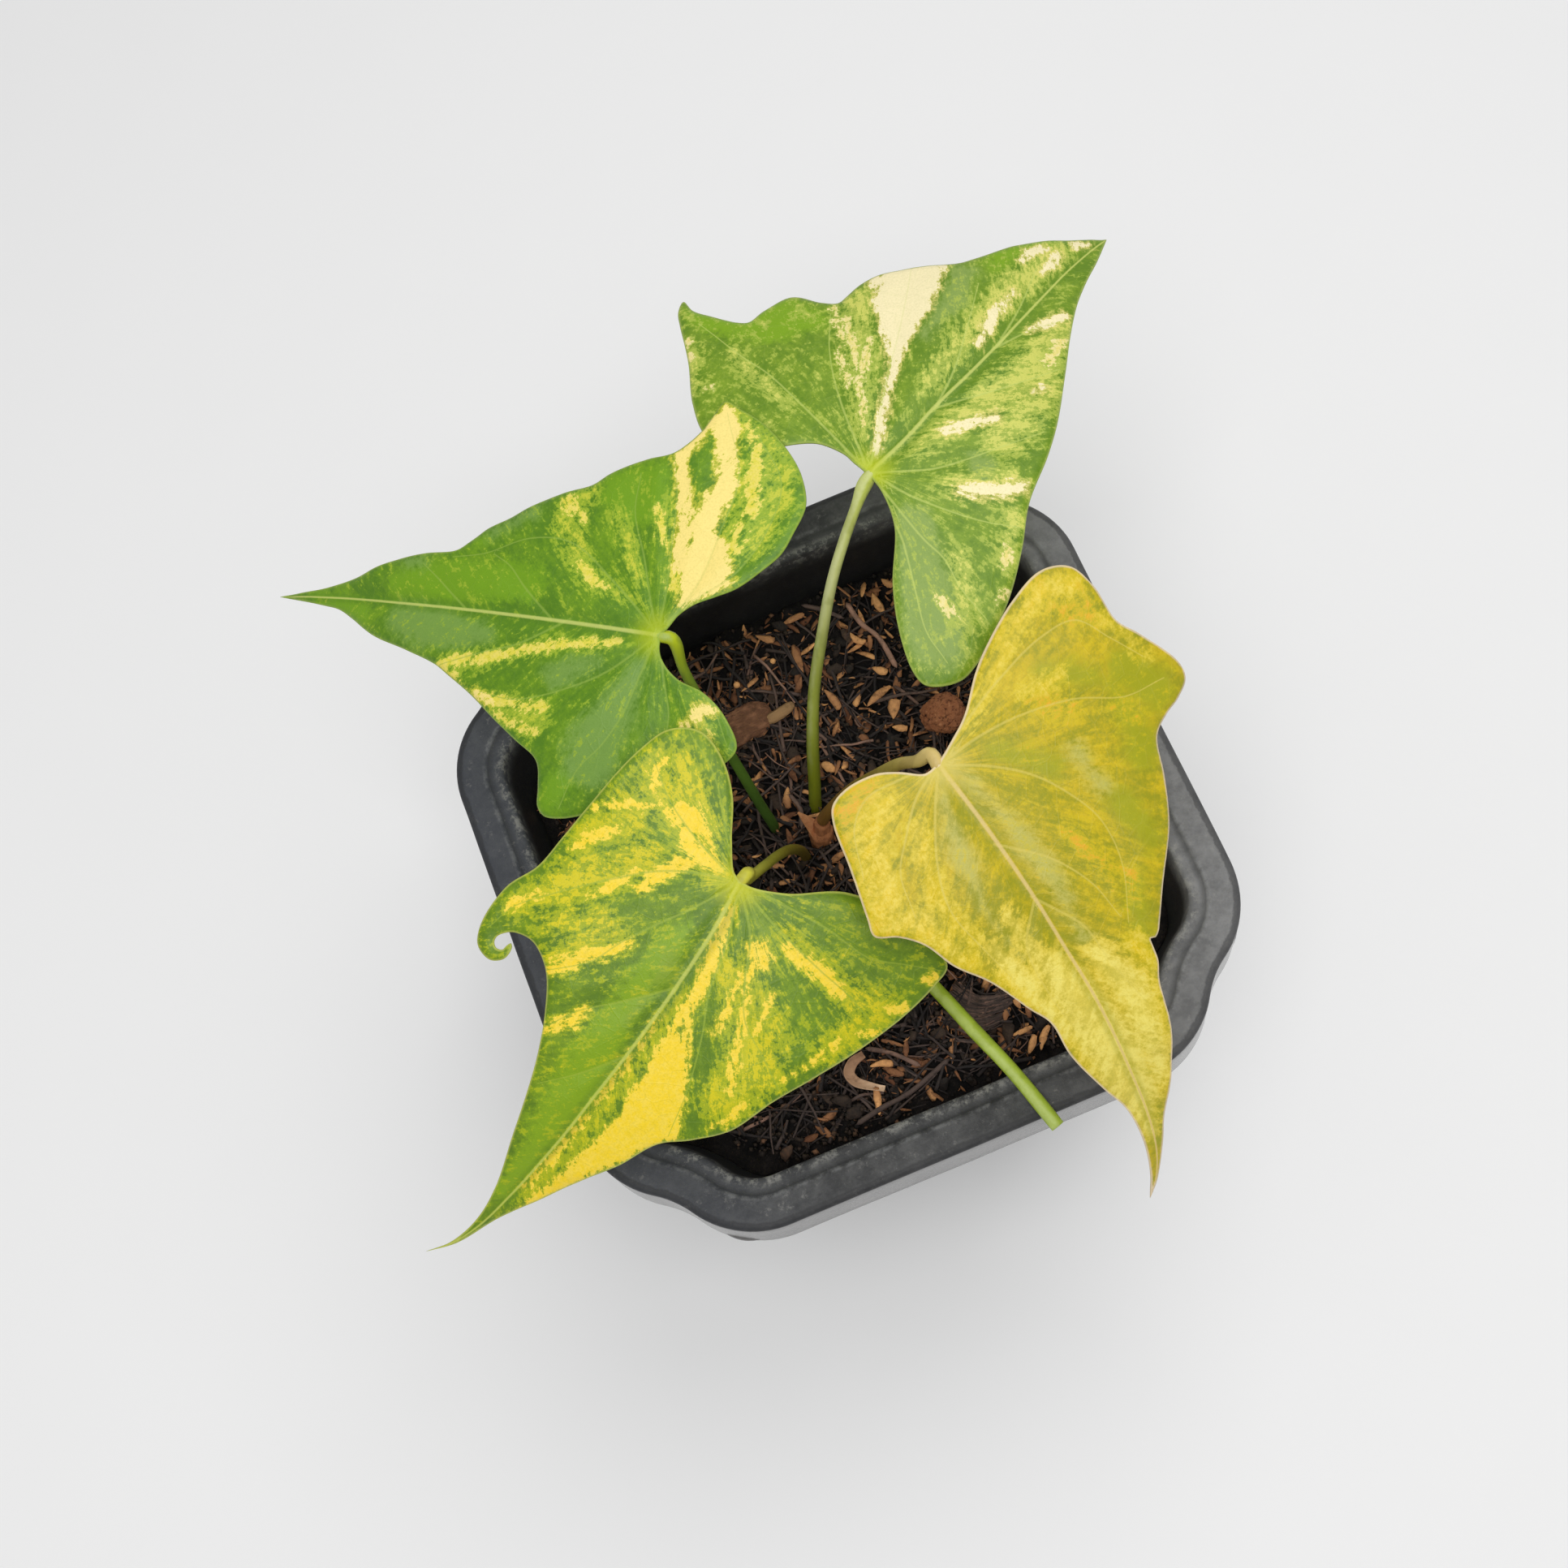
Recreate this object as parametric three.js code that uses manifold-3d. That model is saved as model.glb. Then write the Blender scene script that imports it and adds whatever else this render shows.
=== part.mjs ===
// A variegated pterodactyl anthurium in its square nursery pot: four arrow-shaped blades with waved
// outlines on long stalks, one trimmed stalk lying over the rim, and a chunky potting mix.
// Millimetres, +Z up. The origin is the centre of the pot's base, and the rim's sides run along X and Y.
import * as THREE from "three";
import { mergeVertices } from "three/addons/utils/BufferGeometryUtils.js";
import Module from "manifold-3d";

// Pot
const RIM_SIDE = 150;
const POT_HEIGHT = 125;
const BASE_SHARE = 0.7; // width of the base over that of the rim
const POT_WALL = 1.6;
const RIM_WIDTH = 11; // from the outer edge to the inside of the wall
const RIM_BAND = 7; // the raised outer band of the rim's top
const RIM_STEP = 0.6; // from the band down to the ledge inside it
const RIM_SKIRT = 16; // how far the rim's skirt hangs down
const CORNER_RADIUS = 22;
const CORNER_HOLLOW_RADIUS = 22; // the hollow bend in the middle of each corner
const CORNER_TURN = THREE.MathUtils.degToRad(57); // turn of each outer bend of a corner
const BEND_STEPS = 4; // flats in each bend of a corner
const SKIRT_FLARE = 0.5; // how far the skirt's foot stands out
const EDGE_ROUND = 1.2; // rounding of the pot's outer edges
const FLOOR_ROUND = 1.4; // rounding inside, between the floor and the wall
const DRAIN = { diameter: 9, sides: 12, sideOffset: 36, cornerOffset: 47.5 };
const LUG = { length: 10, proud: 1.6, height: 2.4, outlinePoint: 9 };

// Potting mix
const MIX_BELOW_RIM = 18;
const MIX_LUMPS = 1.3;
const HUSK = { count: 120, length: 7.5, width: 2.6, thickness: 1.7, lift: 0.35, tilt: 0.35, clear: 7 };
const SEAT_GAP = 0.3; // between pieces that touch
const HOLE_GAP = 0.5; // round the stalks in their holes

// Plant
const BLADE_THICKNESS = 0.9;
const MARGIN_STEP = 3; // longest straight step along a blade's outline
const BLADE_GRID = 5.5; // spacing of the points within a blade
const MARGIN_CLEAR = 2.6; // how far they stay off the outline
const WAVE_REACH = 60; // distance from the notch at which the wave has its stated height
const STALK_SIDES = 10;
const STALK_STEP = 5; // length of a straight step of a stalk
const STALK_DEPTH = 14; // how deep the stalks stand in the mix
const STALK_REACH = 1.3; // how far a stalk runs on under its blade, before and past the notch

const MIX_TOP = POT_HEIGHT - MIX_BELOW_RIM;

const COLOURS = {
  pot: [0x2b2c2e, 0.55],
  mix: [0x2a1d16, 0.95],
  crown: [0x7a5637, 0.85],
  stalk: [0x7f9a3a, 0.5],
  darkStalk: [0x6c6426, 0.5],
  greenBlade: [0x6f9436, 0.4],
  marbledBlade: [0xb4b83a, 0.4],
  goldenBlade: [0xc9a92e, 0.4],
  clay: [0x8a4f33, 0.9],
  bark: [0x6d4530, 0.9],
  paleWood: [0xb48a60, 0.85],
};

// The blades. Each has its own frame: origin at the notch where the stalk joins it, x along the midrib
// to the tip, y to the left, z out of the upper face. The outline runs from the notch round the right
// lobe to the tip, and from there round the left lobe back to the notch.
const BLADES = {
  blade_back: {
    at: [32.3, 48.2, 182.5],
    heading: 30,
    pitch: -15,
    roll: -3,
    length: 84,
    arch: 5,
    droop: { left: 0.0022, right: 0.004 },
    wave: { height: 1.6, count: 5, phase: 0.4 },
    right: [
      [0, 0], [-2.1, -5.1], [-6.3, -11.2], [-15.6, -18], [-22.8, -25.5], [-26, -31], [-25.8, -36],
      [-21.2, -39.6], [-12.7, -39.5], [-3.1, -37.3], [6.1, -33.5], [14.2, -29.1], [24.3, -26.1],
      [33, -22.6], [45.2, -16.4], [54, -11.3], [64.3, -6.7], [76.6, -3], [84.3, -0.6],
    ],
    left: [
      [84.3, -0.6], [78, 4], [69.2, 9.8], [57.3, 15.7], [50, 23.6], [42.8, 30.5], [35.8, 32.6],
      [32.3, 32.7], [30.6, 36], [28.2, 42.2], [21, 45], [16.6, 47.5], [15.2, 56.5], [16.1, 62],
      [11.5, 59.6], [2.8, 49.5], [-4.7, 42.1], [-9.5, 34.4], [-9.5, 27], [-5.9, 20.8], [-0.5, 13.4],
      [0.8, 7.2], [0.2, 3.6], [0, 0],
    ],
    colour: "greenBlade",
  },
  blade_left: {
    at: [-19, 34.9, 178.5],
    heading: 141,
    pitch: -20.5,
    roll: -13,
    length: 100,
    arch: 6,
    droop: { left: 0.003, right: 0.003 },
    wave: { height: 1.6, count: 5, phase: 2 },
    right: [
      [0, 0], [-1.7, -1.9], [-3.1, -4.4], [-5.4, -6.9], [-9, -9.1], [-12.6, -11.6], [-17.8, -16.5],
      [-21.1, -23], [-21.8, -30.7], [-19, -36.8], [-14, -42.6], [-8, -47.2], [-2.7, -49.7],
      [0, -50.7], [1.4, -47.3], [3, -42.5], [6.2, -38], [11.4, -36], [15.5, -34.1], [21.1, -30.9],
      [27.8, -27.2], [35, -23.9], [43.9, -18], [50.2, -12.3], [58.7, -11], [67.7, -8.4], [76, -4.2],
      [85.8, -1.2], [100.1, 1.2],
    ],
    left: [
      [100.1, 1.2], [85, 2.3], [75.7, 4.5], [68.4, 7.7], [58.5, 10], [50.4, 12.2], [41, 17.1],
      [35.5, 20.9], [28.4, 25], [23, 27.9], [20.9, 33.4], [20.3, 38], [17.1, 39.3], [10.3, 37.6],
      [3.5, 35.2], [-2.9, 32.2], [-9.1, 28.8], [-14.7, 25], [-18.9, 19.2], [-16.2, 14.5],
      [-11.1, 9.8], [-5.4, 8], [-1.4, 4.5], [0, 0],
    ],
    colour: "greenBlade",
  },
  blade_front: {
    at: [-22.5, -18, 175.5],
    heading: -158,
    pitch: -23,
    roll: -14,
    length: 105,
    arch: 7,
    droop: { left: 0.0045, right: 0.0022 },
    wave: { height: 1.6, count: 5, phase: 3.6 },
    right: [
      [0, 0], [-0.6, -2], [-4.8, -6.3], [-11, -11.9], [-15, -18.6], [-15.8, -25], [-12.3, -29.8],
      [-6, -31.5], [9, -32], [16.4, -32], [23.7, -32.1], [31, -34.3], [39.4, -33.5], [43, -31.2],
      [43.4, -27.5], [41.1, -25.3], [38.5, -25.6], [38.1, -26.3], [38.8, -26.6], [40.2, -26.8],
      [40.8, -28], [40.3, -29], [39.2, -29.3], [37.6, -28.6], [36, -27], [34.8, -23], [36.9, -17.9],
      [43.2, -12.7], [52.2, -7.9], [68, -2.2], [80.4, 1.7], [90, 2.9], [99, 1.7], [104.7, -0.9],
    ],
    left: [
      [104.7, -0.9], [98, 2.8], [86.3, 6.2], [76.2, 10.4], [65.3, 15], [59, 17.7], [50, 20.7],
      [44.7, 25.2], [38.3, 29.8], [28.7, 32.4], [15.6, 36.9], [-1.8, 40.8], [-11.2, 41.2],
      [-13.7, 34], [-13.5, 26], [-10.7, 16.5], [-4.1, 8.5], [-0.7, 2.6], [0, 0],
    ],
    colour: "marbledBlade",
  },
  blade_right: {
    at: [20, -16.5, 191],
    heading: -84,
    pitch: -35,
    roll: 0,
    length: 104,
    arch: 10,
    droop: { left: 0.0035, right: 0.0035 },
    wave: { height: 1.6, count: 5, phase: 5.2 },
    right: [
      [0, 0], [0.3, -3], [-2, -7], [-3.6, -11], [-3.6, -17], [-2, -20.8], [1, -22.3], [9, -23.4],
      [18.5, -25], [22, -25.4], [24, -21.5], [27.3, -18], [33.3, -15], [39.7, -10.2], [48, -6],
      [52.5, -3.5], [61.5, -2.6], [71, 0], [78, 2.6], [86.5, 3.9], [98.5, 2.7], [104.2, 0.7],
    ],
    left: [
      [104.2, 0.7], [103.4, 2.6], [99.8, 4.8], [94.5, 6.6], [83, 9.8], [74, 13.7], [65.3, 16.8],
      [55.2, 18.6], [47.5, 20.2], [44.7, 23.1], [37.4, 28.4], [30.2, 33.9], [22.3, 37.6], [16, 40],
      [13.1, 45], [10.2, 50.7], [7, 51.3], [-1.5, 46.5], [-6, 43.5], [-13, 43], [-18, 41],
      [-20, 36], [-18, 27.5], [-13.3, 18.6], [-10.5, 14.5], [-5, 8.3], [-2, 3.4], [0, 0],
    ],
    colour: "goldenBlade",
  },
};

// The stalks, by the points that they pass through from the mix up to the blade, and their radii at
// the foot and at the top.
const STALKS = {
  stalk_back: {
    points: [[-1.5, 12, 107], [0, 14, 117], [3, 19, 131], [7, 25, 143], [12, 30, 156], [18, 36, 168],
      [23.2, 40.8, 174], [27.8, 44.6, 178.6]],
    radii: [1.5, 1.05],
    blade: "blade_back",
    colour: "stalk",
  },
  stalk_left: {
    points: [[-12, 12, 107], [-13, 14.5, 117], [-14, 17.5, 129], [-15, 21, 140], [-16, 25.5, 153],
      [-17, 30.4, 168.5]],
    radii: [1.25, 1],
    blade: "blade_left",
    colour: "stalk",
  },
  stalk_front: {
    points: [[-8, 2, 107], [-8.6, 0.5, 118], [-10.6, -2.6, 132], [-13.5, -7, 146], [-17.2, -12.3, 160],
      [-20.8, -16, 169]],
    radii: [1.2, 1],
    blade: "blade_front",
    colour: "darkStalk",
  },
  stalk_right: {
    points: [[-1.35, 6, 115.45], [-0.4, 5.6, 119], [2.7, 3.8, 130], [6.2, 0.5, 145], [10.8, -4.6, 163],
      [14.7, -9.2, 178], [17.5, -12.5, 185.5]],
    radii: [1.45, 1.3],
    blade: "blade_right",
    colour: "darkStalk",
  },
  stalk_trimmed: {
    points: [[0.5, -19, 107], [1.8, -25.5, 114], [4, -33.5, 120.5], [7.5, -45, 126], [10, -53, 128],
      [14, -64, 127.6], [18, -78, 127.2]],
    radii: [1.85, 1.8],
    colour: "stalk",
  },
};

// The short brown stem that shows at the mix, with a dry leaf sheath beside the right blade's stalk.
const CROWN = {
  stem: { points: [[-3, 5, 93], [-3, 5, 103], [-2.8, 5, 109], [-2.4, 5.2, 112]], radii: [3, 2.6] },
  sheath: { points: [[-3.4, 5.2, 108], [-4.8, 6.8, 112], [-6, 8.8, 116]], radii: [1.9, 1] },
  socket: { points: [[-2.4, 5.2, 110], [-1.8, 5.8, 113.2], [-1.45, 6, 114.9]], radii: [2, 1.6] },
};

// Loose pieces on the mix: centre, half sizes and heading.
const SCRAPS = {
  clay_pellet: { at: [34, 20.5], half: [5, 4.6, 4], turn: 20, sink: 0.35, colour: "clay" },
  bark_chip: { at: [-9.5, 37.5], half: [7.5, 4.2, 1.8], turn: 12, sink: 0.5, colour: "bark" },
  wood_curl: { at: [-14.5, -50], half: [7, 2.4, 1.6], turn: -28, sink: 0.4, colour: "paleWood" },
};

const wasm = await Module();
wasm.setup();

// A seeded source of numbers from 0 to 1, the same on every run.
function seededNumbers(seed) {
  let state = seed;
  return () => {
    state = (state + 0x6d2b79f5) | 0;
    let mixed = Math.imul(state ^ (state >>> 15), 1 | state);
    mixed = (mixed + Math.imul(mixed ^ (mixed >>> 7), 61 | mixed)) ^ mixed;
    return ((mixed ^ (mixed >>> 14)) >>> 0) / 4294967296;
  };
}

function geometryOf(vertices, triangles) {
  const geometry = new THREE.BufferGeometry();
  const flat = vertices.flatMap((v) => [v.x, v.y, v.z]);
  geometry.setAttribute("position", new THREE.Float32BufferAttribute(flat, 3));
  geometry.setIndex(triangles.flat());
  return geometry;
}

function solidOf(geometry) {
  const bare = geometry.clone();
  bare.deleteAttribute("normal");
  bare.deleteAttribute("uv");
  const merged = mergeVertices(bare, 1e-4);
  return new wasm.Manifold(
    new wasm.Mesh({
      numProp: 3,
      vertProperties: new Float32Array(merged.attributes.position.array),
      triVerts: new Uint32Array(merged.index.array),
    }),
  );
}

function geometryOfSolid(solid) {
  const mesh = solid.getMesh();
  const geometry = new THREE.BufferGeometry();
  geometry.setAttribute("position", new THREE.BufferAttribute(mesh.vertProperties, 3));
  geometry.setIndex(new THREE.BufferAttribute(mesh.triVerts, 1));
  return geometry;
}

function meshOf(name, geometry, colour) {
  const [color, roughness] = COLOURS[colour];
  geometry.computeVertexNormals();
  const material = new THREE.MeshStandardMaterial({ color, roughness, metalness: 0 });
  const mesh = new THREE.Mesh(geometry, material);
  mesh.name = name;
  return mesh;
}

// The rim's outline, counter-clockwise, as points with their outward normals. Each corner is an outer
// bend, a hollow bend across the diagonal and another outer bend.
function rimOutline() {
  const half = RIM_SIDE / 2;
  const quarter = Math.PI / 4;
  const bends = [
    { radius: CORNER_RADIUS, from: 0, to: CORNER_TURN },
    { radius: -CORNER_HOLLOW_RADIUS, from: CORNER_TURN, to: 2 * quarter - CORNER_TURN },
    { radius: CORNER_RADIUS, from: 2 * quarter - CORNER_TURN, to: 2 * quarter },
  ];
  const straightHalf =
    half -
    CORNER_RADIUS * (1 - Math.cos(CORNER_TURN) + Math.sin(CORNER_TURN)) -
    CORNER_HOLLOW_RADIUS *
      (Math.cos(quarter) - Math.cos(CORNER_TURN) + Math.sin(CORNER_TURN) - Math.sin(quarter));
  const outline = [];
  for (let side = 0; side < 4; side++) {
    const turn = (side * Math.PI) / 2;
    const place = new THREE.Vector2(half, straightHalf);
    const add = (angle) => {
      const point = place.clone().rotateAround(new THREE.Vector2(), turn);
      const normal = new THREE.Vector2(Math.cos(angle + turn), Math.sin(angle + turn));
      outline.push({ point, normal });
    };
    add(0);
    for (const { radius, from, to } of bends) {
      for (let k = 1; k <= BEND_STEPS; k++) {
        const before = from + ((to - from) * (k - 1)) / BEND_STEPS;
        const after = from + ((to - from) * k) / BEND_STEPS;
        place.x += radius * (Math.cos(after) - Math.cos(before));
        place.y += radius * (Math.sin(after) - Math.sin(before));
        add(after);
      }
    }
  }
  return outline;
}

const OUTLINE = rimOutline();

// A ring of the rim's outline moved inwards by inset.
function rimRing(inset, z) {
  return OUTLINE.map(({ point, normal }) => {
    const moved = point.clone().addScaledVector(normal, -inset);
    return new THREE.Vector3(moved.x, moved.y, z);
  });
}

// A ring on the tapered wall: its outer face moved inwards by inset.
function wallRing(inset, z) {
  const down = 1 - z / (POT_HEIGHT - POT_WALL);
  const wallInset = RIM_WIDTH - POT_WALL;
  return OUTLINE.map(({ point, normal }) => {
    const top = point.clone().addScaledVector(normal, -wallInset);
    const foot = point.clone().multiplyScalar(BASE_SHARE);
    const moved = top.lerp(foot, down).addScaledVector(normal, -inset);
    return new THREE.Vector3(moved.x, moved.y, z);
  });
}

// One closed surface through a stack of rings of equal length, with a point at each end.
function loft(start, rings, end) {
  const vertices = [start, ...rings.flat(), end];
  const triangles = [];
  const count = rings[0].length;
  const at = (ring, k) => 1 + ring * count + (k % count);
  const last = vertices.length - 1;
  for (let k = 0; k < count; k++) {
    triangles.push([0, at(0, k + 1), at(0, k)]);
    triangles.push([last, at(rings.length - 1, k), at(rings.length - 1, k + 1)]);
    for (let ring = 0; ring + 1 < rings.length; ring++) {
      triangles.push([at(ring, k), at(ring, k + 1), at(ring + 1, k + 1)]);
      triangles.push([at(ring, k), at(ring + 1, k + 1), at(ring + 1, k)]);
    }
  }
  return geometryOf(vertices, triangles);
}

// The pot: a tapered cup whose rim turns outwards and hangs down as a skirt.
function potSolid() {
  const top = POT_HEIGHT;
  const shelf = top - POT_WALL;
  const skirtFoot = top - RIM_SKIRT;
  const middle = top / 2;
  const ledge = top - RIM_STEP;
  const rings = [
    wallRing(EDGE_ROUND, 0),
    wallRing(0, EDGE_ROUND),
    wallRing(0, middle),
    rimRing(RIM_WIDTH - POT_WALL, shelf),
    rimRing(POT_WALL, shelf),
    rimRing(POT_WALL - SKIRT_FLARE, skirtFoot),
    rimRing(-SKIRT_FLARE, skirtFoot),
    rimRing(0, top - EDGE_ROUND),
    rimRing(EDGE_ROUND / 3, top - EDGE_ROUND / 3),
    rimRing(EDGE_ROUND, top),
    rimRing(RIM_BAND, top),
    rimRing(RIM_BAND + RIM_STEP / 2, ledge),
    rimRing(RIM_WIDTH - EDGE_ROUND, ledge),
    rimRing(RIM_WIDTH, ledge - EDGE_ROUND),
    wallRing(POT_WALL, middle),
    wallRing(POT_WALL, POT_WALL + FLOOR_ROUND),
    wallRing(POT_WALL + FLOOR_ROUND, POT_WALL),
  ];
  let solid = solidOf(loft(new THREE.Vector3(0, 0, 0), rings, new THREE.Vector3(0, 0, POT_WALL)));
  for (let turn = 0; turn < 4; turn++) {
    const angle = (turn * Math.PI) / 2;
    solid = solid.add(lugSolid(angle));
    for (const [distance, more] of [[DRAIN.sideOffset, 0], [DRAIN.cornerOffset, Math.PI / 4]]) {
      const x = distance * Math.cos(angle + more);
      const y = distance * Math.sin(angle + more);
      solid = solid.subtract(drainSolid(x, y));
    }
  }
  return solid;
}

// The cutter of a drain hole through the pot's floor.
function drainSolid(x, y) {
  const radius = DRAIN.diameter / 2;
  const geometry = new THREE.CylinderGeometry(radius, radius, 4 * POT_WALL, DRAIN.sides);
  geometry.rotateX(Math.PI / 2).translate(x, y, 0);
  return solidOf(geometry);
}

// A low lug at the foot of the skirt, on the outer bend of a corner.
function lugSolid(angle) {
  const bend = OUTLINE[LUG.outlinePoint];
  const geometry = new THREE.BoxGeometry(2 * LUG.proud, LUG.length, LUG.height);
  const heading = Math.atan2(bend.normal.y, bend.normal.x);
  geometry.rotateZ(heading);
  geometry.translate(bend.point.x, bend.point.y, POT_HEIGHT - RIM_SKIRT + LUG.height / 2);
  geometry.rotateZ(angle);
  return solidOf(geometry);
}

// How far the mix stands above its mean level at x, y.
function lumps(x, y) {
  const low = Math.sin(x * 0.09 + 1.1) * Math.cos(y * 0.11 - 0.4);
  const middle = Math.sin(x * 0.31 - y * 0.17 + 0.6) * Math.sin(y * 0.29 + 2.1);
  const fine = Math.sin(x * 0.83 + y * 0.41) * Math.cos(y * 0.77 - x * 0.23);
  return MIX_LUMPS * (0.9 * low + 0.7 * middle + 0.35 * fine);
}

// A grain of husk or bark: a flat, pointed, six-sided body.
function huskGeometry(length, width, thickness) {
  const shape = new THREE.SphereGeometry(0.5, 6, 2);
  shape.rotateZ(Math.PI / 2);
  shape.scale(length, width, thickness);
  return shape;
}

function scrapGeometry({ at: [x, y], half, turn, sink }, grow) {
  const shape = new THREE.SphereGeometry(1, 10, 6);
  shape.scale(half[0] + grow, half[1] + grow, half[2] + grow);
  shape.rotateZ(THREE.MathUtils.degToRad(turn));
  shape.translate(x, y, MIX_TOP + lumps(x, y) + half[2] * (1 - 2 * sink));
  return shape;
}

// The potting mix fills the pot to below the rim, with husks over its top and plain holes for the
// stalks.
function mixSolid() {
  const clear = POT_WALL + SEAT_GAP;
  const floor = POT_WALL + SEAT_GAP;
  const edge = wallRing(clear + MIX_LUMPS / 5, MIX_TOP);
  const shares = [1, 0.93, 0.85, 0.76, 0.67, 0.57, 0.47, 0.36, 0.25, 0.13];
  const topRings = shares.map((share) =>
    edge.map((v) => {
      const x = v.x * share;
      const y = v.y * share;
      return new THREE.Vector3(x, y, MIX_TOP + lumps(x, y));
    }),
  );
  const rings = [
    wallRing(clear + FLOOR_ROUND, floor),
    wallRing(clear, floor + FLOOR_ROUND),
    wallRing(clear, POT_HEIGHT / 2),
    ...topRings,
  ];
  const centre = new THREE.Vector3(0, 0, MIX_TOP + lumps(0, 0));
  const body = solidOf(loft(new THREE.Vector3(0, 0, floor), rings, centre));
  const random = seededNumbers(7);
  const reach = RIM_SIDE / 2 - RIM_WIDTH - HUSK.clear;
  const husks = [];
  while (husks.length < HUSK.count) {
    const x = (2 * random() - 1) * reach;
    const y = (2 * random() - 1) * reach;
    const size = 0.75 + 0.5 * random();
    const turn = random() * Math.PI;
    const tilt = (2 * random() - 1) * HUSK.tilt;
    const outsideCorner = Math.abs(x) + Math.abs(y) > 1.6 * reach;
    if (outsideCorner) continue;
    const husk = huskGeometry(HUSK.length * size, HUSK.width * size, HUSK.thickness * size);
    husk.rotateY(tilt).rotateZ(turn).translate(x, y, MIX_TOP + lumps(x, y) + HUSK.lift);
    husks.push(solidOf(husk));
  }
  let solid = wasm.Manifold.union([body, ...husks]);
  for (const stalk of Object.values(STALKS)) {
    solid = solid.subtract(solidOf(stalkGeometry(footPoints(stalk), stalk.radii, HOLE_GAP)));
  }
  for (const part of Object.values(CROWN)) {
    solid = solid.subtract(solidOf(stalkGeometry(part.points, part.radii, HOLE_GAP)));
  }
  for (const scrap of Object.values(SCRAPS)) {
    solid = solid.subtract(solidOf(scrapGeometry(scrap, SEAT_GAP)));
  }
  return solid.decompose().reduce((a, b) => (a.volume() > b.volume() ? a : b));
}

// The points of a stalk from its foot in the mix. One that grows from the crown has no foot.
function footPoints({ points }) {
  const [x, y, z] = points[0];
  return z > MIX_TOP + 2 ? points : [[x, y, z - STALK_DEPTH], ...points];
}

// A round stalk along a smooth curve, thinning from its foot to its top.
function stalkGeometry(points, [footRadius, topRadius], grow = 0) {
  const curve = new THREE.CatmullRomCurve3(
    points.map((p) => new THREE.Vector3(...p)),
    false,
    "centripetal",
  );
  const steps = Math.max(4, Math.round(curve.getLength() / STALK_STEP));
  const frames = curve.computeFrenetFrames(steps, false);
  const rings = [];
  for (let k = 0; k <= steps; k++) {
    const share = k / steps;
    const centre = curve.getPointAt(share);
    const radius = grow + footRadius + (topRadius - footRadius) * share;
    const ring = [];
    for (let side = 0; side < STALK_SIDES; side++) {
      const angle = (2 * Math.PI * side) / STALK_SIDES;
      ring.push(
        centre
          .clone()
          .addScaledVector(frames.normals[k], radius * Math.cos(angle))
          .addScaledVector(frames.binormals[k], radius * Math.sin(angle)),
      );
    }
    rings.push(ring);
  }
  const start = curve.getPointAt(0).addScaledVector(frames.tangents[0], -grow);
  const end = curve.getPointAt(1).addScaledVector(frames.tangents[steps], grow);
  return loft(start, rings, end);
}

// Height of a blade over its own x-y plane: arched along the midrib, drooping at the sides and waved
// towards the margin.
function bladeHeight({ length, arch, droop, wave }, x, y) {
  const along = x / length;
  const side = y > 0 ? droop.left : droop.right;
  const outwards = (Math.hypot(x, y) / WAVE_REACH) ** 2;
  const ripple = wave.height * outwards * Math.sin(wave.count * Math.atan2(y, x) + wave.phase);
  return 4 * arch * along * (1 - along) - side * y * y + ripple;
}

// Points along a smooth curve through the given ones, no further apart than MARGIN_STEP. The last is
// left out, because the next side of the outline begins there.
function alongMargin(points) {
  const places = points.map(([x, y]) => new THREE.Vector3(x, y, 0));
  const curve = new THREE.CatmullRomCurve3(places, false, "centripetal");
  const spans = places.length - 1;
  return places.slice(0, -1).flatMap((place, span) => {
    const steps = Math.ceil(place.distanceTo(places[span + 1]) / MARGIN_STEP);
    return Array.from({ length: steps }, (_, k) => curve.getPoint((span + k / steps) / spans));
  });
}

function isInside(outline, x, y) {
  let inside = false;
  outline.forEach((from, k) => {
    const to = outline[(k + 1) % outline.length];
    const passes = from.y > y !== to.y > y;
    if (passes && x < from.x + ((to.x - from.x) * (y - from.y)) / (to.y - from.y)) inside = !inside;
  });
  return inside;
}

// The directed edges that belong to one of the triangles only.
function openEdges(triangles) {
  const edges = new Map();
  for (const [a, b, c] of triangles) {
    for (const [from, to] of [[a, b], [b, c], [c, a]]) {
      if (!edges.delete(to + "," + from)) edges.set(from + "," + to, [from, to]);
    }
  }
  return [...edges.values()];
}

// Joins points of a plane by triangles whose circles hold no other point. Each point in turn opens the
// triangles whose circles it lies in, and is joined to the edges round them.
function joined(points) {
  const far = 1e4;
  const around = [[-far, -far], [far, -far], [0, far]].map(([x, y]) => new THREE.Vector3(x, y, 0));
  const places = [...points, ...around];
  const withCircle = (corners) => {
    const [a, b, c] = corners.map((k) => places[k]);
    const [u, v] = [b.clone().sub(a), c.clone().sub(a)];
    const [uu, vv, area] = [u.lengthSq(), v.lengthSq(), 2 * (u.x * v.y - u.y * v.x)];
    const toCentre = new THREE.Vector3(v.y * uu - u.y * vv, u.x * vv - v.x * uu, 0);
    toCentre.divideScalar(area);
    return { corners, centre: toCentre.clone().add(a), reach: toCentre.length() };
  };
  const first = points.length;
  let triangles = [withCircle([first, first + 1, first + 2])];
  points.forEach((point, index) => {
    const holdsPoint = ({ centre, reach }) => centre.distanceTo(point) < reach;
    const edges = openEdges(triangles.filter(holdsPoint).map((t) => t.corners));
    triangles = triangles.filter((t) => !holdsPoint(t));
    triangles.push(...edges.map(([from, to]) => withCircle([from, to, index])));
  });
  return triangles.map((t) => t.corners).filter((corners) => Math.max(...corners) < first);
}

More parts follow.
